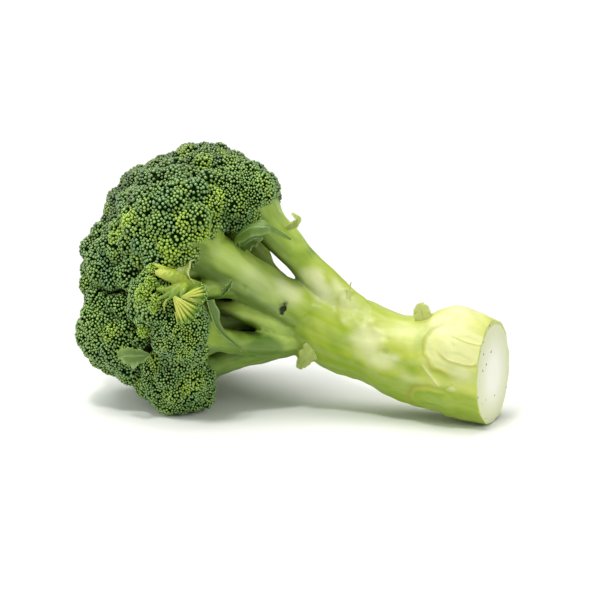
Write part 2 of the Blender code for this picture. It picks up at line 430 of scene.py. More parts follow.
def piece(mesh: bpy.types.Mesh, finishes: list, stands_for: tuple = ()) -> bpy.types.Object:
    """A finished piece that rides on the one body.

    Args:
        mesh: its mesh, whose name it takes.
        finishes: its materials in the order of the mesh's slots.
        stands_for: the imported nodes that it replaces.

    Returns:
        The object, at the origin.
    """
    made = put(mesh.name, mesh)
    for finish in finishes:
        mesh.materials.append(finish)
    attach(made, "root")
    if stands_for:
        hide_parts(*stands_for)
    log.info("%s: %d triangles", made.name, sum(len(face.vertices) - 2 for face in mesh.polygons))
    return made


@dataclass(frozen=True)
class Ball:
    """A closed ball of few faces: a tip, rings at angles from the tip, and a base."""

    sides: int
    rings: tuple

    def grid(self) -> tuple:
        """A ball of radius 1 with its tip along +Z: a ring at angle a has radius sin a and height cos a.

        On the map the tip is in the middle, each ring is a circle, and the base is spread over the rim.

        Returns:
            Points, corners, face lengths and map places.
        """
        angles = np.radians(self.rings)
        turn = np.arange(self.sides) * 2.0 * math.pi / self.sides
        across, height = np.sin(angles)[:, None], np.cos(angles)[:, None]
        rings = np.stack([across * np.cos(turn), across * np.sin(turn), height + 0.0 * turn], 2)
        points = np.vstack([[0.0, 0.0, 1.0], rings.reshape(-1, 3), [0.0, 0.0, -1.0]])
        side = np.arange(self.sides)
        after = (side + 1) % self.sides
        base = len(points) - 1
        tip_fan = np.stack([0 * side, 1 + side, 1 + after], 1)
        last = 1 + (len(self.rings) - 1) * self.sides
        base_fan = np.stack([0 * side + base, last + after, last + side], 1)
        bands = [
            np.stack([upper + side, upper + self.sides + side, upper + self.sides + after, upper + after], 1)
            for upper in range(1, last, self.sides)
        ]
        corners = np.concatenate([tip_fan.ravel(), *[band.ravel() for band in bands], base_fan.ravel()])
        sizes = np.repeat([3, 4, 3], [self.sides, len(bands) * self.sides, self.sides])
        reach = np.concatenate([[0.0], np.repeat(np.arange(1, len(self.rings) + 1), self.sides), [0.0]])
        reach = reach / (len(self.rings) + 1)
        heading = np.concatenate([[0.0], np.tile(turn, len(self.rings)), [0.0]])
        far = np.stack([reach * np.cos(heading), reach * np.sin(heading)], 1)[corners]
        middle = (side + 0.5) * 2.0 * math.pi / self.sides
        far[-3 * self.sides :: 3] = np.stack([np.cos(middle), np.sin(middle)], 1)
        return points, corners, sizes, far

    def copies(
        self, centres: np.ndarray, frames: np.ndarray, scales: np.ndarray, tips: np.ndarray | float
    ) -> Shape:
        """Many balls at once.

        Args:
            centres: rows of places.
            frames: a 3 x 3 matrix each.
            scales: rows of half sizes along the frame's axes.
            tips: how high each tip stands, as a share of its ball's height, below 1 for a dimple.

        Returns:
            One shape with paint "height", from 0 at the base to 1 at the tip. On its map each ball fills
            -1 to 1.
        """
        points, corners, sizes, far = self.grid()
        local = points[None] * scales[:, None, :]
        local[:, 0, 2] *= tips
        placed = np.einsum("nij,nkj->nki", frames, local) + centres[:, None, :]
        count = len(centres)
        start = (np.arange(count) * len(points))[:, None]
        return Shape(
            placed.reshape(-1, 3),
            (corners[None] + start).ravel(),
            np.tile(sizes, count),
            np.tile(far, (count, 1)),
            {"height": np.tile((points[:, 2] + 1.0) / 2.0, count)},
        )


def cells(uv: np.ndarray, first: int, many: int, count: int) -> np.ndarray:
    """Map places of many small things, each in its own square of a square grid.

    Args:
        uv: as many rows for each of these things, within -1 to 1 of its own middle.
        first: the number of the first of them.
        many: how many there are here.
        count: how many there are in all.

    Returns:
        Places within 0 to 1.
    """
    across = math.ceil(math.sqrt(count))
    owners = np.repeat(np.arange(many) + first, len(uv) // many)
    return (np.stack([owners % across, owners // across], 1) + 0.5 + uv * 0.46) / across


# ---- Finishes ----


def linear(hex_colour: str) -> tuple:
    """An sRGB hex colour as linear red, green, blue and alpha."""
    parts = [int(hex_colour[i : i + 2], 16) / 255.0 for i in (1, 3, 5)]
    return (*[part / 12.92 if part <= 0.04045 else ((part + 0.055) / 1.055) ** 2.4 for part in parts], 1.0)


# Nodes used over and over, as add_node takes them: the type's name, which output is used, and the settings.
# Of a MIX, in0 is the share of in7 over in6. A PAINT and a RAMP still need their settings.
PLACE = ("ShaderNodeTexCoord", 3, {})
MIX = ("ShaderNodeMix", 2, {"data_type": "RGBA"})
TIMES = ("ShaderNodeMath", 0, {"operation": "MULTIPLY"})
PLUS = ("ShaderNodeMath", 0, {"operation": "ADD", "use_clamp": True})
LESS = ("ShaderNodeMath", 0, {"operation": "SUBTRACT", "use_clamp": True})
NOISE = ("ShaderNodeTexNoise", 0, {})
SPREAD = ("ShaderNodeMapRange", 0, {"interpolation_type": "SMOOTHSTEP"})
MOVED = ("ShaderNodeMapping", 0, {})
BUMP = ("ShaderNodeBump", 0, {})
LENGTH = ("ShaderNodeVectorMath", 1, {"operation": "LENGTH"})
PAINT = ("ShaderNodeAttribute", 2)
RAMP = ("ShaderNodeValToRGB", 0)


def feed(node: bpy.types.Node, **inputs: object) -> None:
    """Links sockets to a node's inputs, or sets the inputs' values.

    Args:
        node: what is fed.
        inputs: sockets or values, by name with _ for a space, or by number after "in". A hex string is a
            colour.
    """
    for name, value in inputs.items():
        number = name[2:] if name[:2] == "in" and name[2:].isdigit() else ""
        socket = node.inputs[int(number)] if number else node.inputs[name.replace("_", " ")]
        if isinstance(value, bpy.types.NodeSocket):
            node.id_data.links.new(value, socket)
        else:
            socket.default_value = linear(value) if isinstance(value, str) else value


def add_node(
    tree: bpy.types.NodeTree, kind: str, out: int, settings: dict, **inputs: object
) -> bpy.types.NodeSocket:
    """Adds a node with its settings and what feeds its inputs.

    Args:
        tree: where it goes.
        kind: the node's type name.
        out: which of its outputs is wanted.
        settings: its properties. "stops" are a colour ramp's positions and hex colours.
        inputs: what feeds it, as feed() takes it.

    Returns:
        The wanted output.
    """
    node = tree.nodes.new(kind)
    for name, value in settings.items():
        if name != "stops":
            setattr(node, name, value)
            continue
        bar = node.color_ramp.elements
        while len(bar) < len(value):
            bar.new(0.5)
        for stop, (position, colour) in zip(bar, value):
            stop.position, stop.color = position, linear(colour)
    feed(node, **inputs)
    return node.outputs[out]


def new_material(name: str, **settings: object) -> tuple:
    """A material with only a Principled shader.

    Args:
        name: what it is called.
        settings: values of the shader's inputs, as feed() takes them.

    Returns:
        The material, its shader, and add_node for its tree.
    """
    made = bpy.data.materials.new(name)
    made.use_nodes = True
    shader = made.node_tree.nodes["Principled BSDF"]
    feed(shader, **settings)
    return made, shader, partial(add_node, made.node_tree)


def per_mm(size: float) -> float:
    """The scale of a noise on Object coordinates, in metres, whose blobs are size millimetres wide."""
    return 1.0 / (size * MM)


@dataclass(frozen=True)
class BudSkin:
    """Closed flower buds: smooth sepals under a thin bloom of wax, which gives each a small soft highlight.

    Their bases are painted deep green as painted shade, and their tips are pale, partly from the grey
    bloom and partly as a painted highlight. The topmost buds are weathered grey-brown.
    """

    name: str = "waxy_flower_buds"
    # the first colour is painted shade at bud bases; tip colours are partly bloom, partly painted highlight
    shaded_base: str = "#0E2007"
    skin: str = "#3B6816"
    tip: str = "#A2C45E"
    blue_skin: str = "#2F5F22"
    blue_tip: str = "#7FA76C"
    young: str = "#79A81A"
    young_tip: str = "#BCD44C"
    weathered: str = "#42482E"

    def make(self) -> bpy.types.Material:
        """Green by height on the bud, with painted shade at its base and a painted highlight at its tip,
        shifted by each bud's own tone, youth and weathering.

        Returns:
            The material.
        """
        made, shader, add = new_material(self.name, Roughness=0.27, Specular_IOR_Level=0.6)
        paints = ("height", "tone", "young", "weathered")
        height, tone, young, weathered = (add(*PAINT, {"attribute_name": name}) for name in paints)
        # each ramp runs from painted shade at the bud's base to a painted highlight at its tip
        ramps = (
            ((0.38, self.shaded_base), (0.68, self.skin), (1.0, self.tip)),
            ((0.38, self.shaded_base), (0.68, self.blue_skin), (1.0, self.blue_tip)),
            ((0.05, self.skin), (0.5, self.young), (0.97, self.young_tip)),
        )
        green, blue, fresh = (add(*RAMP, {"stops": stops}, Fac=height) for stops in ramps)
        worn = add(*TIMES, in0=weathered, in1=add(*TIMES, in0=height, in1=height))
        colour = add(*MIX, in0=tone, in6=green, in7=blue)
        colour = add(*MIX, in0=worn, in6=colour, in7=self.weathered)
        colour = add(*MIX, in0=young, in6=colour, in7=fresh)
        feed(shader, Base_Color=colour)
        return made


@dataclass(frozen=True)
class Flesh:
    """The tissue under the buds: dark between them as painted shade, pale green where their stems join it."""

    name: str = "tissue_and_shade_under_buds"
    # the colour where it faces out is painted shade between the buds
    outside: str = "#15290B"
    inside: str = "#8FA650"

    def make(self) -> bpy.types.Material:
        """Pale to dark by how far it faces out, the dark being painted shade, a little uneven.

        Returns:
            The material.
        """
        made, shader, add = new_material(self.name, Roughness=0.9, Specular_IOR_Level=0.05)
        uneven = add(*NOISE, Vector=add(*PLACE), Scale=per_mm(2.5))
        outer = add(*PAINT, {"attribute_name": "outer"})
        outer = add(*PLUS, in0=outer, in1=add(*TIMES, in0=uneven, in1=0.2))
        feed(shader, Base_Color=add(*MIX, in0=outer, in6=self.inside, in7=self.outside))
        return made


@dataclass(frozen=True)
class StalkSkin:
    """A broccoli stalk's skin: smooth, waxy and moist, with faint pale fibres along it and greener stretches.

    Near the cut it is bleached yellow, and where it was rubbed it is pale. Its undersides are painted deep
    green as painted shade, the hollows of the fork are painted dark as painted shade, and a few pale spots
    are painted glints.
    """

    name: str = "waxy_stalk_skin"
    by_cut: str = "#C8CE60"
    trunk: str = "#A2B428"
    green: str = "#84A20C"
    arm: str = "#A0BA4A"
    arm_green: str = "#4E7206"
    pale: str = "#ECEBC4"
    line: str = "#9A9A2A"
    # dark: the nick's hole, and painted shade in the fork's hollows
    dark: str = "#0F1A05"

    def make(self) -> bpy.types.Material:
        """Yellow by the cut, greener along the trunk, greyer on the branches, with the painted marks.

        Returns:
            The material.
        """
        made, shader, add = new_material(
            self.name, Roughness=0.36, Specular_IOR_Level=0.3, Subsurface_Weight=0.2,
            Subsurface_Radius=(0.6, 1.0, 0.2), Subsurface_Scale=0.0025,
        )
        place = add(*PLACE)
        paints = ("arm", "pale", "line", "green", "dark")
        arm, pale, line, green, dark = (add(*PAINT, {"attribute_name": name}) for name in paints)
        away = add("ShaderNodeSeparateXYZ", 0, {}, Vector=place)
        to_cut = add(*SPREAD, Value=away, From_Min=0.02, From_Max=0.09)
        broad = add(*NOISE, Vector=place, Scale=per_mm(17.0), Detail=2.0)
        blotch = add(*SPREAD, Value=broad, From_Min=0.42, From_Max=0.68)
        greener = add(*PLUS, in0=green, in1=add(*TIMES, in0=blotch, in1=0.18))
        grain = add("ShaderNodeAttribute", 1, {"attribute_name": "grain"})
        fibres = add(*MOVED, Vector=grain, Scale=(0.05, 0.7, 0.7))
        streaks = add(*NOISE, Vector=fibres, Scale=0.45, Detail=3.0)
        streak = add(*SPREAD, Value=streaks, From_Min=0.35, From_Max=0.7)
        trunk = add(*MIX, in0=to_cut, in6=self.trunk, in7=self.by_cut)
        # green: greener stretches of skin, and painted shade on the undersides
        trunk = add(*MIX, in0=greener, in6=trunk, in7=self.green)
        limb = add(*MIX, in0=greener, in6=self.arm, in7=self.arm_green)
        colour = add(*MIX, in0=arm, in6=trunk, in7=limb)
        lighter = add(*MIX, in0=0.1, in6=colour, in7=self.pale)
        colour = add(*MIX, in0=streak, in6=colour, in7=lighter)
        whiter = add(*NOISE, Vector=place, Scale=per_mm(2.2), Detail=3.0)
        whiter = add(*SPREAD, Value=whiter, From_Min=-0.3, From_Max=0.45)
        whiter = add(*TIMES, in0=pale, in1=whiter)
        # pale: rubbed and bleached skin, and a few painted glints
        colour = add(*MIX, in0=add(*TIMES, in0=whiter, in1=0.6), in6=colour, in7=self.pale)
        colour = add(*MIX, in0=add(*TIMES, in0=line, in1=0.7), in6=colour, in7=self.line)
        # dark: the nick's hole, and painted shade in the fork's hollows
        colour = add(*MIX, in0=dark, in6=colour, in7=self.dark)
        fine = add(*NOISE, Vector=place, Scale=per_mm(1.5), Detail=3.0)
        relief = add(*PLUS, in0=add(*TIMES, in0=streaks, in1=0.5), in1=fine)
        normal = add(*BUMP, Height=relief, Strength=0.22, Distance=0.5 * MM)
        feed(shader, Base_Color=colour, Normal=normal)
        return made


@dataclass(frozen=True)
class LeafBlade:
    """A brassica leaf: a matt green blade with a grey bloom of wax, and paler veins sunk into it."""

    name: str = "waxy_leaf_blade"
    pale: str = "#7C9E3C"
    deep: str = "#1C420C"
    rib: str = "#A6C266"

    def make(self) -> bpy.types.Material:
        """Pale to deep by each leaf's painted shade value and soft blotches, with its veins; on leaves that
        lie in shadow the deep tone is partly painted shade.

        Returns:
            The material.
        """
        made, shader, add = new_material(
            self.name, Roughness=0.42, Subsurface_Weight=0.12,
            Subsurface_Radius=(0.4, 1.0, 0.2), Subsurface_Scale=0.001,
        )
        place = add(*PLACE)
        shade, rib, edge = (add(*PAINT, {"attribute_name": name}) for name in ("shade", "rib", "edge"))
        blotch = add(*NOISE, Vector=place, Scale=per_mm(4.0), Detail=3.0)
        shade = add(*PLUS, in0=shade, in1=add(*TIMES, in0=blotch, in1=0.6))
        shade = add(*LESS, in0=shade, in1=0.3)
        colour = add(*MIX, in0=shade, in6=self.pale, in7=self.deep)
        veins = add(*TIMES, in0=add(*PLUS, in0=rib, in1=edge), in1=0.45)
        colour = add(*MIX, in0=veins, in6=colour, in7=self.rib)
        crinkle = add(*NOISE, Vector=place, Scale=per_mm(1.1), Detail=2.0)
        normal = add(*BUMP, Height=crinkle, Strength=0.3, Distance=0.4 * MM)
        feed(shader, Base_Color=colour, Normal=normal)
        return made


@dataclass(frozen=True)
class YoungStem:
    """Young stems torn open: soft yellow-green flesh, paler along its ridges and greener to its ends.

    Between its ribs it is painted darker green as painted shade.
    """

    name: str = "torn_young_stem"
    flesh: str = "#93A828"
    ridge: str = "#C8CE58"
    end: str = "#5E8618"
    dull: str = "#8F9348"

    def make(self) -> bpy.types.Material:
        """Flesh to ridge and end as they are painted, with duller stretches.

        Returns:
            The material.
        """
        made, shader, add = new_material(
            self.name, Roughness=0.4, Subsurface_Weight=0.2,
            Subsurface_Radius=(0.8, 1.0, 0.2), Subsurface_Scale=0.0015,
        )
        ridge, end = (add(*PAINT, {"attribute_name": name}) for name in ("ridge", "end"))
        dull = add(*NOISE, Vector=add(*PLACE), Scale=per_mm(3.5), Detail=2.0)
        dull = add(*SPREAD, Value=dull, From_Min=0.45, From_Max=0.65)
        colour = add(*MIX, in0=add(*TIMES, in0=dull, in1=0.6), in6=self.flesh, in7=self.dull)
        colour = add(*MIX, in0=end, in6=colour, in7=self.end)
        colour = add(*MIX, in0=ridge, in6=colour, in7=self.ridge)
        feed(shader, Base_Color=colour)
        return made


@dataclass(frozen=True)
class CutFace:
    """The knife's cut: moist white pith inside a thin yellow-green rind, with fibres that run out to it.

    A few specks of soil are left on it, mostly by the rim. centre is its middle's y and z in the row frame.
    """

    name: str = "fresh_cut_pith"
    pith: str = "#F0F0DE"
    outer: str = "#D3D8A8"
    rind: str = "#B7C25A"
    speck: str = "#1E1D12"
    centre: tuple = (0.6, 22.0)
    radius: float = 22.6
    speck_pitch: float = 4.2

    def make(self) -> bpy.types.Material:
        """White in the middle and greener to the rim, by the way from the middle of the cut.

        Returns:
            The material.
        """
        made, shader, add = new_material(
            self.name, Roughness=0.36, Subsurface_Weight=0.25,
            Subsurface_Radius=(0.8, 1.0, 0.5), Subsurface_Scale=0.0025,
        )
        place = add(*PLACE)
        size = 1.0 / (self.radius * MM)
        shift = (-at * MM * size for at in self.centre)
        moved = add(*MOVED, Vector=place, Scale=(0.0, size, size), Location=(0.0, *shift))
        reach = add(*LENGTH, in0=moved)
        spokes = add("ShaderNodeVectorMath", 0, {"operation": "NORMALIZE"}, in0=moved)
        fibres = add(*NOISE, Vector=spokes, Scale=9.0, Detail=4.0)
        uneven = add(*NOISE, Vector=place, Scale=per_mm(5.0), Detail=3.0)
        reached = add(*PLUS, in0=reach, in1=add(*TIMES, in0=uneven, in1=0.05))
        stops = [(0.3, self.pith), (0.9, self.outer), (0.98, self.outer), (1.0, self.rind)]
        colour = add(*RAMP, {"stops": stops}, Fac=reached)
        streak = add(*SPREAD, Value=fibres, From_Min=0.45, From_Max=0.75)
        outwards = add(*SPREAD, Value=reach, From_Min=0.25, From_Max=0.8)
        streak = add(*TIMES, in0=streak, in1=outwards)
        colour = add(*MIX, in0=add(*TIMES, in0=streak, in1=0.5), in6=colour, in7=self.outer)
        near, which = (
            add("ShaderNodeTexVoronoi", out, {"feature": "F1"}, Vector=place, Scale=per_mm(self.speck_pitch))
            for out in (0, 1)
        )
        which = add("ShaderNodeSeparateColor", 0, {}, Color=which)
        chosen = add(*TIMES, in0=which, in1=reach)
        chosen = add(*SPREAD, Value=chosen, From_Min=0.36, From_Max=0.38)
        dot = add(*SPREAD, Value=near, From_Min=0.16, From_Max=0.12)
        colour = add(*MIX, in0=add(*TIMES, in0=dot, in1=chosen), in6=colour, in7=self.speck)
        rough = add(*NOISE, Vector=place, Scale=per_mm(1.4), Detail=4.0)
        rough = add(*TIMES, in0=rough, in1=0.6)
        relief = add(*PLUS, in0=rough, in1=add(*TIMES, in0=streak, in1=0.3))
        normal = add(*BUMP, Height=relief, Strength=0.35, Distance=0.4 * MM)
        feed(shader, Base_Color=colour, Normal=normal)
        return made


# ---- How it grows: the stalk's line, its branches and the crowns ----

# The stalk's line from beyond the cut to the fork: x, y, z and radius.
TRUNK = (
    (105, 0, 20.6, 21.6),
    (94, 0, 21.4, 22.4),
    (84, 0, 23.4, 23.2),
    (72, 0, 26.2, 24.4),
    (61, 0, 25.6, 21.8),
    (47, 0, 27.4, 18.8),
    (33, 0, 31.6, 17.6),
    (20, 0, 35.8, 17.8),
    (8, 0, 40.5, 17.0),
    (-6, 0, 46.0, 12.0),
)
WAIST = 0.16  # by what share a branch narrows in its middle


@dataclass(frozen=True)
class Crown:
    """A dome of buds round centre, and its branch, which leaves the stalk's line at leaves_x.

    The branch ends by the crown's middle, moved by entry, and swings aside by sweep on its way. pitch is from
    bud to bud. wrap is how far round its side the crown still has buds, as the cosine from its axis.
    """

    name: str
    centre: tuple
    radius: float
    leaves_x: float
    root_radius: float
    tip_radius: float
    pitch: float = 1.36
    entry: tuple = (0.0, 0.0, 0.0)
    wrap: float = -0.45
    sweep: tuple = (0.0, 0.0, 0.0)

    def axis(self) -> np.ndarray:
        """The way it faces, away from the fork."""
        return unit(np.array(self.centre) - FORK)

    def branch(self, steps: int = 14) -> np.ndarray:
        """Its branch, a cubic curve that narrows in its middle by a share, along half a sine wave.

        Args:
            steps: the number of steps along it.

        Returns:
            Rows of x, y, z and radius.
        """
        trunk = smooth_rows(TRUNK, 5)
        start = trunk[np.argmin(np.abs(trunk[:, 0] - self.leaves_x)), :3]
        end = np.array(self.centre) + np.array(self.entry) - self.axis() * self.radius * 0.1
        reach = np.linalg.norm(end - start)
        first = start + unit(TRUNK_WAY + self.axis()) * reach * 0.35 + np.array(self.sweep)
        second = end - self.axis() * reach * 0.3 + np.array(self.sweep)
        t = np.linspace(0.0, 1.0, steps + 1)
        radii = self.root_radius + (self.tip_radius - self.root_radius) * t
        radii = radii * (1.0 - WAIST * np.sin(math.pi * t))
        return np.hstack([bezier([start, first, second, end], steps), radii[:, None]])


CROWNS = (
    Crown("crown_end", (-85, 4, 46), 21, 14, 8.0, 9.0, sweep=(0, 0, 6)),
    Crown("crown_end_upper", (-65.5, -5, 87), 23, 16, 7.0, 8.0),
    Crown("crown_end_front", (-74, -22, 66), 22, 14, 7.5, 8.5, wrap=-0.75, sweep=(0, 0, 3)),
    Crown("crown_end_rear", (-76, 24, 64), 22, 14, 7.5, 8.5),
    Crown("crown_upper_front", (-49, -27, 84), 27, 26, 12.0, 12.8, pitch=1.62, entry=(6, -2, -6), wrap=-0.85),
    Crown("crown_top", (-44.5, 0, 98.5), 20, 30, 7.5, 8.0, wrap=-0.85, sweep=(-7, 0, -6.5)),
    Crown(
        "crown_upper_right", (-22.5, -11, 96), 17.5, 48, 8.8, 8.4, pitch=1.26, wrap=-0.9, sweep=(2.4, 0, 2.2)
    ),
    Crown("crown_front_middle", (-49, -46, 55), 13, 20, 4.5, 4.5, wrap=-0.85, sweep=(0, 3, 12)),
    Crown("crown_front_inner", (-37, -44, 41), 14.5, 22, 6.0, 6.5, pitch=1.16, wrap=-0.85, sweep=(0, 4, -10)),
    Crown("crown_lower_left", (-74, -26, 36), 22.5, 16, 7.0, 7.5, wrap=-0.75, sweep=(0, 0, 4)),
    Crown("crown_lower_front", (-47, -26, 18.5), 21, 24, 8.0, 8.0, pitch=1.22, wrap=-0.85),
    Crown("crown_lower_middle", (-60, -1, 16), 16, 20, 5.5, 6.5, sweep=(0, 0, -3)),
    Crown("crown_lower_end", (-79, 0, 23), 19, 16, 7.0, 8.0, sweep=(0, 0, -6)),
    Crown("crown_lower_rear", (-63, 24, 18.0), 19, 22, 7.5, 8.0, sweep=(0, 4, -4)),
    Crown("crown_rear_low", (-60, 43, 38), 20, 20, 7.5, 8.5),
    Crown("crown_rear_middle", (-48, 43, 61), 19, 22, 7.5, 8.5),
    Crown("crown_rear_upper", (-54, 28, 86), 25, 24, 9.0, 10.0, sweep=(-6, 0, -6)),
    Crown("crown_rear_right", (-30, 22, 88), 14, 34, 7.0, 7.0, sweep=(5, 0, 4)),
)


# ---- Crowns ----


@dataclass
class Crowns:
    """All bud crowns. Each is a cluster of small domes, and each dome is set with buds."""

    seed: int = 7
    dome_radius: float = 4.7
    dome_sizes: tuple = (0.7, 1.28)  # the least and most share of it that a dome has
    dome_pitch: float = 5.7
    dome_sink: tuple = (0.2, 3.2)  # how much deeper a dome lies under the crown's surface by chance
    dome_scatter: float = 0.09  # how uneven their directions are, as a share of the crown's radius
    blend: float = 4.8  # how far apart crowns still grow into each other
    bud_share: float = 0.6  # a bud's radius as a share of the pitch
    bud_height: float = 1.2  # its height as a share of its width
    bud_seat: float = 0.7  # how deep the flesh lies under the buds' middles
    dimpled: float = 0.3  # the share of the buds whose tip is a dimple
    # patches of paler young buds: x, y, z and how far they reach
    patches: tuple = (
        (-31, -47, 86, 5.5), (-26, -41, 86, 5.5), (-30, -46, 79, 5.5), (-40, -52, 77, 4.5),
        (-68, -46, 85, 4.5), (-72, -40, 79, 4.5), (-58, -42, 38, 3.5), (-64, -48, 92, 4),
        (-28, -31, 100, 4), (-36, -49, 94, 3.5), (-6, -16, 95, 5), (-11, -20, 94, 4), (-40, -45, 15, 4.5),
        (-35, -56, 33, 4), (-47, -54, 82, 4), (-41, -15, 111, 3.5), (-35, -15, 108, 3.5), (-49, -46, 23, 4),
        (-54, -57, 60, 5), (-48, -59, 57, 5), (-36, -42, 102, 3), (-74, -48, 40, 3), (-60, 50, 70, 5),
        (-34, 45, 92, 5), (-75, 42, 50, 5),
    )
    bud: Ball = Ball(6, (43.0, 100.0))
    core: Ball = Ball(8, (32.0, 72.0, 115.0))

    def __post_init__(self) -> None:
        """Lays out the domes of every crown at once, because neighbours shape each other."""
        draw = np.random.default_rng(self.seed)
        self.branches = np.vstack([crown.branch(40) for crown in CROWNS])
        middles, sizes, owners, outs = [], [], [], []
        for index, crown in enumerate(CROWNS):
            count = round(4.0 * math.pi * crown.radius**2 / (PACKING * self.dome_pitch**2))
            ways = fibonacci_ways(count) + draw.normal(0.0, self.dome_scatter, (count, 3))
            ways = unit(ways @ frames_on(crown.axis()[None], draw.uniform(0, FULL_TURN, 1))[0].T)
            facing = ways @ crown.axis()
            size = self.dome_radius * draw.uniform(*self.dome_sizes, count)
            reach = np.full(count, float(crown.radius))
            for _ in range(4):
                reach -= 0.8 * self.past_crowns(np.array(crown.centre) + ways * reach[:, None])[0]
            top = np.array(crown.centre) + ways * reach[:, None]
            _, nearest, outward = self.past_crowns(top)
            keep = (facing > crown.wrap) & (nearest == index)
            deep = draw.uniform(*self.dome_sink, count) + 0.4 * size + 0.6 * self.dome_radius
            middle = top - outward * deep[:, None]
            middle -= crown.axis() * (np.minimum(facing, 0.0) * crown.radius * 0.3)[:, None]
            keep &= self.past_branches(middle) > -0.3 * size
            middle[:, 2] = np.maximum(middle[:, 2], size + 0.9)
            middles.append(middle[keep])
            sizes.append(size[keep])
            owners.append(np.full(keep.sum(), index))
            outs.append(unit(outward + 0.25 * crown.axis())[keep])
        self.middles, self.sizes = np.vstack(middles), np.concatenate(sizes)
        self.owners, self.outs = np.concatenate(owners), np.vstack(outs)
        self.tones = draw.normal(0.0, 0.2, len(self.middles))
        self.ages = 0.75 * smooth_step(1.5, 2.4, draw.normal(0.0, 1.0, len(self.middles)))
        tops = self.middles + self.outs * self.sizes[:, None]
        for *place, spread in self.patches:
            away = np.linalg.norm(tops - np.array(place), axis=1) + draw.normal(0.0, 1.0, len(tops))
            self.ages = np.maximum(self.ages, 0.8 - 0.8 * smooth_step(0.5 * spread, 1.7 * spread, away))
        self.buds = [self.bud_places(index, draw) for index in range(len(CROWNS))]
        log.info("%d domes, %d buds", len(self.middles), sum(len(buds["place"]) for buds in self.buds))

    def past_crowns(self, places: np.ndarray) -> tuple:
        """How far places are outside all crowns, whose sphere is nearest, and the way out.

        Formula: -k ln(sum of e^(-d/k)) over the distances d to the spheres. It fills the grooves.

        Args:
            places: rows of places.

        Returns:
            The distances in millimetres, the numbers of the crowns, and rows of the way out.
        """
        away = places[:, None] - np.array([crown.centre for crown in CROWNS], float)
        reach = np.linalg.norm(away, axis=2)
        apart = reach - np.array([crown.radius for crown in CROWNS])
        least = apart.min(1, keepdims=True)
        share = np.exp((least - apart) / self.blend)
        outward = unit((away * (share / reach)[..., None]).sum(1))
        return least[:, 0] - self.blend * np.log(share.sum(1)), apart.argmin(1), outward

    def past_branches(self, places: np.ndarray) -> np.ndarray:
        """How far places are outside every branch.

        Args:
            places: rows of places.

        Returns:
            Millimetres, one value a row.
        """
        squares = (places**2).sum(1)[:, None] + (self.branches[:, :3] ** 2).sum(1)
        apart = np.sqrt(np.maximum(squares - 2.0 * places @ self.branches[:, :3].T, 0.0))
        return (apart - self.branches[:, 3]).min(1)

    def bud_places(self, index: int, draw: np.random.Generator) -> dict:
        """Where one crown's buds sit: evenly on each dome's free outer side, then in what gaps are left.

        Args:
            index: which crown.
            draw: the source of chance.

        Returns:
            Rows "place", "way", "pitch" and "dome" of the buds.
        """
        crown = CROWNS[index]
        found = []
        for dome in np.flatnonzero(self.owners == index):
            pitch = crown.pitch * draw.uniform(0.86, 1.08) * (1.0 - 0.16 * self.ages[dome])
            apart = np.linalg.norm(self.middles - self.middles[dome], axis=1)
            near = np.flatnonzero((apart < self.sizes + self.sizes[dome] + 2.0 * pitch) & (apart > 0.0))
            for rank, finer in ((0, 1.0), (1, 0.5)):
                count = round(4.0 * math.pi * self.sizes[dome] ** 2 / (PACKING * (pitch * finer) ** 2))
                way = unit(fibonacci_ways(count) + draw.normal(0.0, 0.03 * finer, (count, 3)))
                way = way @ frames_on(self.outs[dome][None], draw.uniform(0, FULL_TURN, 1))[0].T
                way = way[way @ self.outs[dome] > -0.4]
                place = self.middles[dome] + way * self.sizes[dome]
                inside = np.linalg.norm(place[:, None] - self.middles[near], axis=2) - self.sizes[near]
                inside -= np.where(self.owners[near] == index, 0.1, 0.4) * pitch
                keep = (inside > 0.0).all(1) & (place[:, 2] > 0.4 * pitch)
                if rank:
                    keep &= (inside < 1.3 * pitch).any(1)
                chance = draw.uniform(0.0, 0.9, keep.sum()) + rank
                same = np.ones(keep.sum())
                found.append(np.column_stack([place[keep], way[keep], pitch * same, chance, dome * same]))
        rows = np.vstack(found)
        rows = rows[self.past_branches(rows[:, :3]) > 0.3]
        rows = rows[well_spaced(rows[:, :3], 0.8 * rows[:, 6], rows[:, 7])]
        dome = rows[:, 8].astype(int)
        return {"place": rows[:, :3], "way": rows[:, 3:6], "pitch": rows[:, 6], "dome": dome}

    def paints(self, buds: dict, draw: np.random.Generator) -> dict:
        """How each bud differs.

        Args:
            buds: the buds, as bud_places() gives them.
            draw: the source of chance.

        Returns:
            "tone", "young" and "weathered" by name, each 0 to 1 for every bud.
        """
        place, dome, count = buds["place"], buds["dome"], len(buds["place"])
        tone = 0.36 + 0.2 * waves(place, 26.0, 3) + self.tones[dome] + draw.normal(0.0, 0.14, count)
        young = self.ages[dome] * draw.uniform(0.5, 1.1, count)
        young = young + 0.3 * smooth_step(0.2, 1.8, waves(place, 14.0, 5))
        sunny = unit(place - np.array([-45.0, 0.0, 50.0])) @ unit(np.array([-0.5, 0.3, 0.8]))
        weathered = 0.8 * smooth_step(0.25, 0.9, sunny + draw.normal(0.0, 0.15, count))
        return {"tone": np.clip(tone, 0.0, 1.0), "young": np.clip(young, 0.0, 1.0), "weathered": weathered}

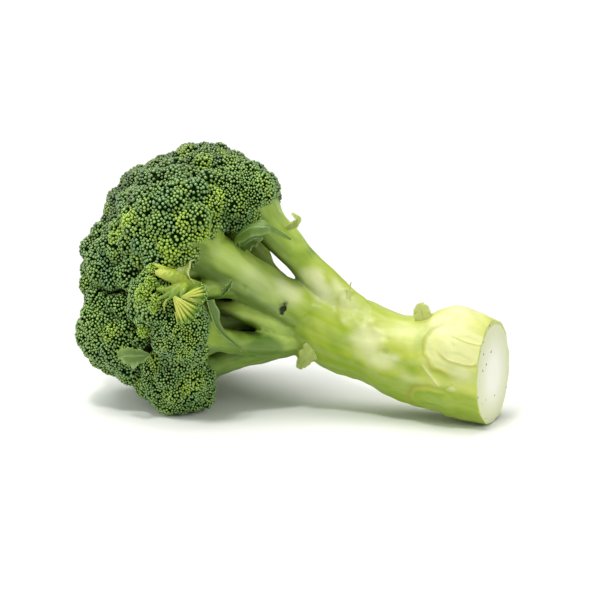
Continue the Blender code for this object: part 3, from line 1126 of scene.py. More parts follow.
    def build(self, bud_skin: bpy.types.Material, flesh: bpy.types.Material) -> None:
        """Makes each crown's mesh of buds on domes of flesh.

        Args:
            bud_skin: the buds' finish.
            flesh: the finish of what is under them.
        """
        draw = np.random.default_rng(self.seed + 1)
        for index, crown in enumerate(CROWNS):
            buds = self.buds[index]
            count = len(buds["place"])
            ways = unit(buds["way"] + draw.normal(0.0, 0.12, (count, 3)))
            frames = frames_on(ways, draw.uniform(0, FULL_TURN, count))
            width = self.bud_share * buds["pitch"] * draw.uniform(0.8, 1.14, count)
            scales = np.stack([width, width, width * self.bud_height], 1)
            lift = draw.uniform(-0.3, 0.25, count)[:, None] * buds["way"]
            tips = np.where(draw.uniform(size=count) < self.dimpled, 0.72, 0.97)
            shape = self.bud.copies(buds["place"] + lift, frames, scales, tips)
            shape.points[:, 2] = np.maximum(shape.points[:, 2], 0.02)
            each = len(shape.points) // count
            for name, values in self.paints(buds, draw).items():
                shape.paint[name] = np.repeat(values, each)
            shape.paint["outer"] = np.ones(len(shape.points))
            shape.slots = np.zeros(len(shape.sizes))
            domes = np.unique(buds["dome"])
            cores = self.core_shape(domes)
            shape.uv = cells(shape.uv, 0, count, count + len(domes))
            cores.uv = cells(cores.uv, count, len(domes), count + len(domes))
            mesh = mesh_of(joined([shape, cores]), crown.name + "_buds")
            piece(mesh, [bud_skin, flesh], (crown.name,))

    def core_shape(self, domes: np.ndarray) -> Shape:
        """The flesh of some domes: a ball under the buds of each, painted by how far it faces out.

        Args:
            domes: their numbers.

        Returns:
            One shape with the buds' paints.
        """
        radius = self.sizes[domes] - self.bud_seat
        frames = frames_on(self.outs[domes], np.zeros(len(domes)))
        cores = self.core.copies(self.middles[domes], frames, np.repeat(radius[:, None], 3, 1), 1.0)
        cores.points[:, 2] = np.maximum(cores.points[:, 2], 0.3)
        for name in ("tone", "young", "weathered"):
            cores.paint[name] = np.zeros(len(cores.points))
        # where a core faces out it is painted dark, as painted shade between the buds
        cores.paint["outer"] = smooth_step(0.2, 0.5, cores.paint["height"])
        cores.slots = np.ones(len(cores.sizes))
        return cores


# ---- Stalk ----


class Mark(Enum):
    """What growing or the knife left on the stalk's skin."""

    CRESCENT = "crescent"  # the edge of a cut leaf's scar: a lip on one side of a pale sunk face
    BULGE = "bulge"  # the skin swells behind a crisp edge on one side
    KNOB = "knob"
    DENT = "dent"
    NICK = "nick"  # a small dark hole
    RIDGE = "ridge"  # a thin pale welt
    # PALE also paints a few glints, which are painted highlights
    PALE = "pale"  # skin that was rubbed or bleached
    GREEN = "green"  # skin that stayed deeper green
    # painted shade: skin painted dark in the hollows between the branches
    PAINTED_SHADE = "dark"  # skin that no light reached


@dataclass(frozen=True)
class Imprint:
    """A mark on the skin.

    place is its middle, along and across are its half sizes along and round the stalk, turned by turn_deg.
    height is its lift. side_deg is where its edge is crisp: 0 is towards the cut, and 90 is up on the front.
    strength is the share of its paint.
    """

    mark: Mark
    place: tuple
    along: float
    across: float
    height: float = 0.0
    turn_deg: float = 0.0
    side_deg: float = -90.0
    strength: float = 1.0

    def spots(self, points: np.ndarray) -> tuple:
        """Where points are in the mark's own plane.

        Args:
            points: rows of places on the skin.

        Returns:
            Half sizes along and across it, how near they are to its plane from 0 to 1, and its way out.
        """
        place = np.array(self.place, float)
        trunk = smooth_rows(TRUNK, 5)[:, :3]
        middle = trunk[np.argmin(np.abs(trunk[:, 0] - place[0]))]
        out = unit(np.array([0.0, place[1] - middle[1], place[2] - middle[2]]))
        way = np.array([1.0, 0.0, 0.0])
        side = np.cross(out, way)
        turn = math.radians(self.turn_deg)
        first = way * math.cos(turn) + side * math.sin(turn)
        second = side * math.cos(turn) - way * math.sin(turn)
        away = points - place
        near = 1.0 - smooth_step(7.0, 11.0, np.abs(away @ out))
        return away @ first / self.along, away @ second / self.across, near, out

    def apply(self, points: np.ndarray) -> tuple:
        """What the mark does to points.

        Args:
            points: rows of places on the skin.

        Returns:
            Rows of moves, and a dictionary of paints by name, one value a row each.
        """
        a, b, near, out = self.spots(points)
        reach = np.hypot(a, b) + 0.03 * waves(points, 8.0, 31)
        side = math.radians(self.side_deg)
        sideways = (a * math.cos(side) + b * math.sin(side)) / np.maximum(np.hypot(a, b), 1e-6)
        crisp = smooth_step(-0.1, 0.75, sideways)
        inner = smooth_step(1.0, 0.85, reach)
        thin = min(0.11, 0.8 / min(self.along, self.across))
        lip = np.exp(-(((reach - 1.0) / thin) ** 2)) * crisp
        soft = smooth_step(1.5, 0.1, reach + 0.12 * waves(points, 9.0, 32) + 0.05 * waves(points, 3.5, 33))
        lift, paint = self.height * np.exp(-1.5 * reach**2), {}
        if self.mark is Mark.CRESCENT:
            lift = self.height * (lip - 0.8 * inner * crisp)
            paint = {"pale": inner * 0.7, "line": lip}
        elif self.mark is Mark.BULGE:
            lift = self.height * inner * (0.35 + 0.65 * crisp) * np.clip(reach, 0.4, 1.0)
            paint = {"line": lip, "green": 0.35 * inner}
        elif self.mark is Mark.NICK:
            hole = smooth_step(1.15, 0.85, reach + 0.3 * waves(points, 2.4, 34))
            lift, paint = self.height * hole, {"dark": hole}
        elif self.mark is Mark.RIDGE:
            welt = np.exp(-2.0 * b**2) * smooth_step(1.1, 0.8, np.abs(a))
            lift, paint = self.height * welt, {"pale": 0.8 * welt}
        elif self.mark in (Mark.PALE, Mark.GREEN, Mark.PAINTED_SHADE):
            lift, paint = 0.0 * a, {self.mark.value: soft}
        paint = {name: values * near * self.strength for name, values in paint.items()}
        return (lift * near)[:, None] * out, paint


@dataclass
class Stalk:
    """The stalk, its branches and the stems of the small domes, grown as one skin and cut flat at its end."""

    crowns: Crowns
    cut_x: float = 89.6
    cut_lean_deg: float = 1.0
    cut_yaw_deg: float = 5.0
    grain: float = 0.75  # the skin's finest detail
    rounds: int = 14  # how many times it is softened
    faces: int = 150_000
    # rings on the cut: share of its radius, and how far the pith stands out there
    cut_rings: tuple = (
        (0.985, 0.12), (0.95, 0.1), (0.88, 0.0), (0.75, 0.04), (0.55, 0.15), (0.3, 0.25), (0.1, 0.28),
    )
    # stubs of cut leaves: place, way, length and radius
    stubs: tuple = (
        ((12, -10.5, 34), (-0.55, -0.05, -0.85), 15.0, 5.6),
        ((22, -3, 52), (0.2, 0.0, 1.0), 4.0, 2.4),
        ((44, 16, 36), (-0.4, 0.8, 0.4), 5.0, 3.0),
    )
    # the thin limb behind the hole, and the inner arm: x, y, z and radius
    limbs: tuple = (
        (
            (4, 0, 48, 7.0), (-6.5, -2, 54, 4.0), (-12.5, 2, 59, 2.8), (-16, 3, 64, 2.8), (-19, 4, 69.5, 3.2),
            (-23, 4, 76, 3.8), (-34, 2, 84, 4.0),
        ),
        (
            (0.6, -6, 36, 8.0), (-7.2, -12, 39.5, 6.4), (-15.2, -16, 43.4, 5.0), (-22.2, -19, 46.3, 4.2),
            (-30.2, -18, 47.3, 3.8), (-39.9, -14, 47.7, 3.6),
        ),
    )
    imprints: tuple = (
        # two scars by the cut, the large one that they lie in, and what is on the rest of the front
        Imprint(Mark.CRESCENT, (82, -15, 41), 8.5, 3.4, 0.4, -6.0, -75.0),
        Imprint(Mark.CRESCENT, (79, -20.5, 35), 9.5, 4.6, 0.45, -14.0, -80.0),
        Imprint(Mark.CRESCENT, (77, -18, 37), 14.0, 12.5, 0.55, -10.0, 205.0, 0.8),
        Imprint(Mark.BULGE, (67, -17, 12), 12.0, 9.5, 1.2, 12.0, 130.0),
        Imprint(Mark.RIDGE, (67.5, -22.3, 25), 6.2, 0.7, 0.45, -46.0),
        Imprint(Mark.CRESCENT, (76.5, -22.4, 19.6), 2.4, 1.5, 0.25, 10.0, 80.0, 0.5),
        Imprint(Mark.KNOB, (73.5, -2, 48), 8.0, 7.0, 1.7),
        Imprint(Mark.KNOB, (37.3, -11.7, 43.2), 2.6, 2.0, 0.9),
        Imprint(Mark.KNOB, (43, -16, 36), 4.5, 3.0, 0.7),
        Imprint(Mark.KNOB, (53, -17, 36), 5.0, 4.0, 0.6),
        Imprint(Mark.DENT, (45.3, -17.2, 32), 2.4, 1.6, -0.9),
        Imprint(Mark.NICK, (-1.5, -20, 49), 1.5, 2.7, -1.4, -15.0),
        Imprint(Mark.CRESCENT, (29, -9, 47), 8.0, 8.0, 0.45, 0.0, 160.0, 0.35),
        Imprint(Mark.KNOB, (31, -4, 50), 5.0, 5.0, 1.0),
        # the side that is turned away
        Imprint(Mark.CRESCENT, (62, 20, 30), 8.0, 10.0, 0.7, 170.0, strength=0.4),
        Imprint(Mark.CRESCENT, (80, 16, 36), 7.0, 6.0, 0.6, 160.0, strength=0.4),
        Imprint(Mark.CRESCENT, (36, 16, 34), 6.0, 8.0, 0.6, 200.0, strength=0.4),
        Imprint(Mark.KNOB, (42, 16, 34), 5.0, 6.0, 1.2),
    )
    # marks of paint only: x, y, z, half sizes along and across, turn in degrees, and strength
    tints: tuple = (
        (
            Mark.PALE,
            (
                # the pale spot at (50, -18.3, 30.3) is a painted glint, and the one at (82, -22, 27) holds a
                # painted glint
                (37, -15, 37, 8, 8, 0, 0.95), (43, -17, 29, 8, 4.5, 0, 0.8), (53, -13, 41, 9, 5, 0, 0.6),
                (72, -13, 44, 14, 10, 0, 0.85), (70, -20, 33, 6, 5, 0, 0.6), (82, -22, 27, 6, 5, 0, 0.8),
                (50, -18.3, 30.3, 3, 2, 0, 0.8), (75, -3, 49, 13, 10, 0, 0.75), (57, -19, 22, 6, 3, 0, 0.4),
                (12.6, -10, 57, 10, 4, -28, 0.95), (1, -16, 56, 7, 5, -30, 0.75),
                (24, -8, 53, 9, 4, -20, 0.8), (-12, -22, 60, 12, 5, -35, 0.3), (52, 18, 32, 9, 7, 0, 0.8),
                (82, 14, 38, 8, 8, 0, 0.7),
            ),
        ),
        (
            Mark.GREEN,
            (
                (45.3, -17.2, 32, 2.2, 1.5, 0, 0.8), (-16, -32, 54, 16, 7, -35, 0.9),
                (47, -15, 20, 14, 6, 0, 0.9), (58, -19, 26, 6, 5, 0, 0.7), (76, -21, 15, 14, 7, 0, 0.35),
                (24, -17, 36, 10, 8, 0, 0.75), (8, -18, 45, 8, 6, 0, 0.6), (61, -18, 38, 3, 7, 0, 0.5),
                (-8, -26, 30, 26, 10, 0, 1), (-24, -30, 28, 16, 12, 0, 1), (4, -6, 66, 6, 12, -45, 0.8),
                (66, 20, 20, 12, 8, 0, 0.8), (20, 16, 36, 10, 8, 0, 0.7),
            ),
        ),
        # painted shade in the hollow under the upper branch
        (Mark.PAINTED_SHADE, ((-27, -9, 50, 9, 7, 0, 1),)),
    )

    def lines(self) -> list:
        """What grows together: the trunk, the branches, the limbs and the stubs.

        Returns:
            Rows of x, y, z and radius of each.
        """
        made = [smooth_rows(TRUNK, 5)] + [crown.branch() for crown in CROWNS]
        made += [smooth_rows(limb, 4) for limb in self.limbs]
        for place, way, length, radius in self.stubs:
            tip = np.array(place) + unit(way) * length
            middle = (np.array(place) + tip) / 2
            made.append(np.array([[*place, radius], [*middle, radius * 0.8], [*tip, radius * 0.6]]))
        return made

    def dome_stems(self) -> list:
        """A thin stem from the end of the branch to each small dome at its crown's side or back.

        Returns:
            Rows of x, y, z and radius of each.
        """
        made = []
        for index, crown in enumerate(CROWNS):
            branch = crown.branch()
            root, way = branch[-4, :3], unit(branch[-3, :3] - branch[-5, :3])
            for dome in np.unique(self.crowns.buds[index]["dome"]):
                end = self.crowns.middles[dome]
                if unit(end - np.array(crown.centre)) @ crown.axis() > 0.45:
                    continue
                reach = np.linalg.norm(end - root)
                start = root + 0.5 * branch[-4, 3] * unit((end - root) - way * ((end - root) @ way))
                points = bezier([start, start + way * reach * 0.3, end - (end - start) * 0.3, end], 7)
                made.append(np.hstack([points, np.linspace(2.9, 2.1, 8)[:, None]]))
        return made

    def outward(self) -> np.ndarray:
        """The way the cut face looks."""
        lean, yaw = math.radians(self.cut_lean_deg), math.radians(self.cut_yaw_deg)
        return np.array([math.cos(lean) * math.cos(yaw), -math.cos(lean) * math.sin(yaw), math.sin(lean)])

    def thinned(self, mesh: bpy.types.Mesh) -> bpy.types.Mesh:
        """A mesh with about as many faces as wanted, taken mostly from the branches and the small stems.

        Args:
            mesh: the full mesh.

        Returns:
            The thinner mesh.
        """
        made = put("thinned", mesh)
        branches = made.vertex_groups.new(name="branches")
        spare = smooth_step(20.0, -20.0, places_of(mesh)[:, 0])
        for level in (0.2, 0.6, 1.0):
            rows = np.flatnonzero((spare > level - 0.4) & (spare <= level))
            branches.add(rows.tolist(), level, "REPLACE")
        thin = made.modifiers.new("thin", "DECIMATE")
        thin.ratio = min(1.0, self.faces / sum(len(face.vertices) - 2 for face in mesh.polygons))
        thin.vertex_group = "branches"
        return applied(made)

    def marked(self, points: np.ndarray) -> tuple:
        """What all marks do to the skin.

        Args:
            points: rows of places on the skin.

        Returns:
            Rows of moves, and a dictionary of paints by name.
        """
        moves = np.zeros_like(points)
        found = {name: np.zeros(len(points)) for name in ("pale", "line", "green", "dark")}
        tints = [
            Imprint(mark, row[:3], *row[3:5], turn_deg=row[5], strength=row[6])
            for mark, rows in self.tints
            for row in rows
        ]
        for imprint in (*self.imprints, *tints):
            move, paint = imprint.apply(points)
            moves += move
            for name, values in paint.items():
                found[name] = np.maximum(found[name], values)
        return moves, found

    def along(self, points: np.ndarray) -> dict:
        """Where points lie on the nearest line of growth.

        Args:
            points: rows of places on the skin.

        Returns:
            "grain", rows of how far along it and where round it they are, and "arm", 0 on the trunk and 1 on
            the branches.
        """
        lines = self.lines()[: -len(self.stubs)]
        rows = np.vstack(lines)
        steps = [np.r_[0, np.linalg.norm(np.diff(line[:, :3], axis=0), axis=1)] for line in lines]
        run = np.concatenate([np.cumsum(step) for step in steps])
        run[len(lines[0]) :] += 100.0
        ways = np.vstack([unit(np.gradient(line[:, :3], axis=0)) for line in lines])
        across = unit(np.cross(ways, [0.0, 0.3, 1.0]))
        owner = np.concatenate([
            np.argmin(np.linalg.norm(part[:, None] - rows[None, :, :3], axis=2) - rows[:, 3], axis=1)
            for part in np.array_split(points, 40)
        ])
        away = points - rows[owner, :3]
        along = (away * ways[owner]).sum(1)
        first = (away * across[owner]).sum(1)
        second = (away * np.cross(ways, across)[owner]).sum(1)
        grain = np.column_stack([run[owner] + along, first, second])
        arm = smooth_step(24.0, -10.0, points[:, 0] + 5.0 * waves(points, 20.0, 17))
        return {"grain": grain, "arm": arm}

    def sculpted(self, mesh: bpy.types.Mesh) -> None:
        """Moves the skin's points: uneven growth, flutes on the branches, and the marks.

        Args:
            mesh: the skin, which is changed.
        """
        points, normals = places_of(mesh), rows_of(mesh, "normal")
        at = self.along(points)
        turn = np.arctan2(at["grain"][:, 2], at["grain"][:, 1])
        swell = 0.55 * waves(points, 22.0, 11) * (1.0 - 0.4 * at["arm"]) + 0.14 * waves(points, 7.0, 12)
        flutes = at["arm"] * 0.2 * np.sin(4.0 * turn + 2.5 * waves(points, 24.0, 13))
        moves, _ = self.marked(points)
        points = points + normals * (swell + flutes)[:, None] + moves
        points[:, 2] = np.maximum(points[:, 2], 0.0)
        mesh.vertices.foreach_set("co", in_row(points).astype(np.float32).ravel())
        mesh.update()

    def cut(self, mesh: bpy.types.Mesh) -> None:
        """Cuts the end off flat and closes it with rings of faces that shrink to the middle.

        Args:
            mesh: the skin, which is changed.
        """
        shape = bmesh.new()
        shape.from_mesh(mesh)
        bmesh.ops.remove_doubles(shape, verts=shape.verts, dist=0.02 * MM)
        place = in_row((self.cut_x, 0.0, TRUNK[1][2]))
        whole = shape.verts[:] + shape.edges[:] + shape.faces[:]
        found = bmesh.ops.bisect_plane(
            shape, geom=whole, dist=1e-7, plane_co=place, plane_no=self.outward(), clear_outer=True
        )
        rim = [item for item in found["geom_cut"] if isinstance(item, bmesh.types.BMEdge)]
        middle, out, shrink, lifted = None, Vector(self.outward()), 1.0, 0.0
        for share, lift in self.cut_rings:
            ring = bmesh.ops.extrude_edge_only(shape, edges=rim)
            verts = [item for item in ring["geom"] if isinstance(item, bmesh.types.BMVert)]
            rim = [item for item in ring["geom"] if isinstance(item, bmesh.types.BMEdge)]
            middle = middle or sum((vert.co for vert in verts), Vector()) / len(verts)
            for vert in verts:
                vert.co = middle + (vert.co - middle) * (share / shrink) + out * (lift - lifted) * MM
            shrink, lifted = share, lift
            for edge in rim:
                for face in edge.link_faces:
                    face.material_index = 1
        closed = bmesh.ops.triangle_fill(shape, use_beauty=True, edges=rim)
        for item in closed["geom"]:
            if isinstance(item, bmesh.types.BMFace):
                item.material_index = 1
        bmesh.ops.recalc_face_normals(shape, faces=shape.faces)
        shape.to_mesh(mesh)
        shape.free()

    def painted_fork_shade(self, points: np.ndarray, normals: np.ndarray) -> np.ndarray:
        """Painted shade where the skin faces the middle of the fork, where no light comes in, from 0 to 1.

        Args:
            points: rows of places on the skin.
            normals: the ways that it faces there.

        Returns:
            One value a row, which is more the further it is from the fork and the nearer to the middle line.
        """
        along = unit(np.array([-66.0, -2.0, 22.0]))
        away = points - FORK
        run = away @ along
        aside = away - run[:, None] * along
        facing = (normals * unit(aside)).sum(1)
        near = smooth_step(60.0, 30.0, np.linalg.norm(aside, axis=1))
        return 0.92 * smooth_step(0.25, -0.5, facing) * smooth_step(8.0, 34.0, run) * near

    def build(self, skin: bpy.types.Material, cut_face: bpy.types.Material) -> None:
        """Grows, sculpts, thins, cuts and paints the stalk.

        Args:
            skin: the skin's finish.
            cut_face: the finish of the cut.
        """
        shapes = [Shape(*swept(rows)) for rows in self.lines() + self.dome_stems()]
        mesh = grown(shapes, "skin", self.grain, self.rounds)
        self.sculpted(mesh)
        mesh = self.thinned(mesh)
        self.cut(mesh)
        mesh.name = "stalk_skin"
        points, normals = places_of(mesh), rows_of(mesh, "normal")
        paint = self.marked(points)[1] | self.along(points)
        # painted shade: the undersides are painted deeper green
        under = smooth_step(0.4, -0.65, normals[:, 2])
        paint["green"] = np.maximum(paint["green"], 0.85 * under)
        # painted shade in the fork's hollows goes into the dark paint
        paint["dark"] = np.maximum(paint["dark"], self.painted_fork_shade(points, normals))
        paint_on(mesh, paint)
        mesh.shade_smooth()
        piece(mesh, [skin, cut_face], ("stalk",))


# ---- Leaves ----


@dataclass(frozen=True)
class Leaf:
    """A small leaf: its midrib from base to tip, half widths along it, the way its face looks, and its form.

    others are the half widths of its second side, where they differ. cup is how far its sides bend to its
    face, frill how far its edge waves and torn how far it is notched, all as shares of the half width. dark
    is its shade at its base and at its tip: 0 is pale, 1 is deep. node is what it stands for.
    """

    name: str
    midrib: tuple
    halves: tuple
    face: tuple
    cup: float
    frill: float = 0.12
    torn: float = 0.05
    dark: tuple = (0.5, 0.5)
    node: str = ""
    others: tuple = ()
    thickness: float = 0.55
    rows: int = 56
    columns: int = 28

    def grid(self) -> Shape:
        """The blade's face: midrib(u) + v w(u) side + w(u) cup v^2 up, with a wavy edge and sunk veins.

        u runs from base to tip, v across, and w is the half width. Side veins leave the midrib at a slant, so
        their phase is u - 0.3|v|.

        Returns:
            A sheet with paints "rib", "edge" and "shade".
        """
        path = smooth_rows(np.column_stack([self.midrib, self.halves, self.others or self.halves]), 12)
        share = np.linspace(0.0, 1.0, self.rows)
        steps = np.linspace(0.0, 1.0, len(path))
        line = np.column_stack([np.interp(share, steps, path[:, axis]) for axis in range(5)])
        run = unit(np.gradient(line[:, :3], axis=0))
        side = unit(np.cross(run, np.array(self.face, float)))
        up = np.cross(side, run)
        v = np.linspace(-1.0, 1.0, self.columns)[None, :]
        u = share[:, None]
        seed = float(sum(map(ord, self.name)) % 17)
        notch = 1.0 - self.torn * (1.0 + np.sin(23.0 * u + seed + 2.0 * np.sign(v))) * np.abs(v)
        half = np.where(v < 0.0, line[:, 3:4], line[:, 4:]) * notch
        wave = self.frill * np.abs(v) ** 3 * np.sin(17.0 * u + seed + 1.5 * np.sign(v))
        midrib = np.exp(-((v / 0.09) ** 2))
        veins = np.cos(44.0 * (u - 0.3 * np.abs(v))) ** 8 * (1.0 - np.abs(v)) * 0.6
        lift = half * (self.cup * v**2 + wave) - 0.28 * midrib - 0.1 * veins
        points = line[:, None, :3] + side[:, None] * (half * v)[..., None] + up[:, None] * lift[..., None]
        paint = {
            "rib": np.clip(midrib + veins, 0.0, 1.0),
            "edge": np.abs(v) ** 4,
            "shade": self.dark[0] + (self.dark[1] - self.dark[0]) * u,
        }
        return sheet(points, paint)

    def build(self, finish: bpy.types.Material) -> None:
        """Makes the blade and gives it its thickness."""
        nodes = (self.node,) if self.node else ()
        thicken(piece(mesh_of(self.grid(), self.name), [finish], nodes), self.thickness)


LEAVES = (
    Leaf(
        "upper_leaf", node="leaf_upper", face=(0.1, -0.75, 0.7), cup=-0.5, frill=0.2, dark=(0.85, 0.45),
        midrib=(
            (-22, -25, 78.1), (-19, -28, 81.9), (-13.2, -31, 85.8), (-7.7, -32, 87.6), (-2.6, -30, 86.6),
            (3.2, -22, 80.8),
        ),
        halves=(1.0, 2.8, 4.0, 3.8, 2.4, 0.4),
    ),
    # deep all over, partly painted shade, since it lies in shadow
    Leaf(
        "upper_inner_leaf", node="leaf_upper_inner", face=(0.5, -0.8, 0.3), cup=0.35, torn=0.16,
        dark=(1.0, 1.0),
        midrib=(
            (-10.8, -20, 81), (-13.6, -22.5, 79.9), (-17.3, -22.5, 77.5), (-21.6, -20, 73.6),
        ),
        halves=(1.4, 3.2, 3.4, 0.8),
    ),
    # deep all over, partly painted shade, since it lies in the dark hollow
    Leaf(
        "small_fork_leaf", node="leaf_fork_small", face=(0.3, -1.0, 0.2), cup=0.5, torn=0.2,
        dark=(1.4, 1.4),
        midrib=(
            (-23.2, -37, 56.6), (-21.2, -38, 59.2), (-19.3, -38.6, 61.6), (-17.5, -38.5, 64.6),
        ),
        halves=(0.6, 1.9, 1.5, 0.3), others=(0.4, 1.0, 1.3, 0.3),
    ),
    Leaf(
        "long_fork_leaf", node="leaf_fork_long", face=(0.5, -0.8, 0.2), cup=0.45, torn=0.1, dark=(1.0, 0.7),
        midrib=(
            (-22.6, -55, 58.1), (-22, -51.5, 51.7), (-21.7, -46, 45), (-20.3, -40, 39.6), (-18, -34, 34.4),
            (-16.6, -29, 30),
        ),
        halves=(2.6, 3.0, 1.5, 0.9, 0.7, 0.2), others=(0.6, 1.0, 1.2, 1.0, 0.7, 0.2),
    ),
    Leaf(
        "lower_left_leaf", node="leaf_lower_left", face=(0.0, -1.0, 0.15), cup=0.2, frill=0.25, torn=0.1,
        dark=(0.95, 0.4),
        midrib=(
            (-50.8, -52.2, 31.4), (-54, -52.8, 31.2), (-58, -53.6, 31), (-62, -53.4, 30.6),
            (-66.2, -52.4, 29.6),
        ),
        halves=(0.3, 3.0, 5.8, 3.6, 0.8), others=(0.3, 2.4, 3.2, 3.8, 2.2),
    ),
    Leaf(
        "rear_leaf", node="leaf_rear", face=(0.4, 0.8, 0.4), cup=0.3,
        midrib=(
            (2, 21, 41), (-4, 26, 42), (-11, 30, 44), (-18, 33, 46), (-24, 35, 49),
        ),
        halves=(1.2, 3.4, 4.8, 3.8, 0.8),
    ),
)

# What is left of leaf bases and lips on the stalk, which is coloured as the stalk is.
BRACTS = (
    Leaf(
        "curled_stub_leaf", node="leaf_curl", face=(0.8, -0.4, 0.2), cup=0.4, dark=(0.9, 1.1),
        midrib=(
            (-1.7, -14, 84), (1.8, -14.5, 85.9), (3.6, -14, 88.3), (0.8, -13, 90.6),
        ),
        halves=(1.2, 1.9, 1.7, 0.6),
    ),
    Leaf(
        "flap_bract", face=(0.1, -1.0, -0.3), cup=-0.3, torn=0.14, dark=(0.7, 1.2), thickness=0.9,
        midrib=(
            (13.5, -13.5, 34.5), (11.1, -15.9, 30.5), (8, -15.6, 26.3), (3.6, -12.5, 20.8),
        ),
        halves=(3.4, 4.0, 3.8, 1.6), others=(3.4, 4.2, 3.6, 1.4),
    ),
    Leaf(
        "top_bract", face=(0.1, -1.0, 0.2), cup=-0.35, frill=0.12, dark=(-0.4, -0.4), thickness=1.2,
        midrib=(
            (59.6, -6.2, 44.5), (58.9, -7, 48.2), (58.4, -7.6, 50.9), (57.6, -8, 52.9),
        ),
        halves=(4.2, 3.8, 3.0, 1.2),
    ),
    Leaf(
        "whisker_bract", face=(0.3, -1.0, 0.3), cup=0.3, dark=(0.0, 0.1), thickness=0.35,
        midrib=(
            (25.4, -8.4, 52), (25.8, -8.2, 55.4), (26, -8, 58), (26.6, -8, 60.4),
        ),
        halves=(1.2, 0.55, 0.3, 0.15),
    ),
    Leaf(
        "torn_lip_bract", face=(-0.3, -1.0, 0.2), cup=0.3, frill=0.3, torn=0.1, dark=(0.6, 0.9),
        thickness=0.8,
        midrib=(
            (-34.6, -41, 73.4), (-35.4, -46, 71.8), (-35.6, -49.4, 68.8), (-34.4, -49.8, 65.4),
            (-32.4, -47.6, 62.6),
        ),
        halves=(1.0, 2.6, 3.2, 3.0, 1.2),
    ),
)


# ---- The small crown broken open ----


@dataclass(frozen=True)
class Fan:
    """Young stems that spread from one root to their tips, grown together side by side as a ribbed sheet.

    bulge is how far the sheet's middle stands out, and ribs the number of stems in it.
    """

    root: tuple
    tips: tuple
    bulge: tuple
    ribs: int
    rows: int = 26
    columns: int = 72

    def grid(self) -> Shape:
        """The sheet's face: u runs from root to tips and v across them.

        Formula: a square curve from root over bulge to the tip at v, less a rib wave that grows with u.

        Returns:
            A sheet with paints "ridge" and "end".
        """
        u = np.linspace(0.06, 1.0, self.rows)[:, None, None]
        v = np.linspace(0.0, 1.0, self.columns)
        line = smooth_rows(np.array(self.tips, float), 12)
        steps = np.linspace(0.0, 1.0, len(line))
        ends = np.column_stack([np.interp(v, steps, line[:, axis]) for axis in range(3)])
        rib = np.cos(2.0 * math.pi * self.ribs * v + 1.6 * np.sin(7.0 * v + self.ribs))
        ragged = 1.0 - 0.08 * rib + 0.06 * np.sin(61.0 * v) + 0.05 * np.sin(37.0 * v + 1.0)
        root = np.array(self.root, float)
        ends = root + (ends - root) * ragged[:, None]
        bend = (root + ends) / 2.0 + np.array(self.bulge)
        points = (1 - u) ** 2 * root + 2 * u * (1 - u) * bend + u**2 * ends
        out = unit(np.cross(ends[-1] - root, ends[0] - root))
        out = out * -np.sign(out[1])
        points = points - out * ((0.5 * rib + 0.35 * np.sin(4.5 * math.pi * v + 0.8))[None, :, None] * u)
        u = u[..., 0]
        # side: darker green in the grooves between ribs, more so to one side, as painted shade
        side = (0.45 + 0.5 * v) * smooth_step(-0.2, 0.6, rib)
        paint = {
            "ridge": smooth_step(0.3, 1.0, -rib) * smooth_step(1.0, 0.7, u) * 0.85,
            "end": np.maximum(smooth_step(0.5, 1.0, u), side),
        }
        return sheet(points, paint, flipped=True)


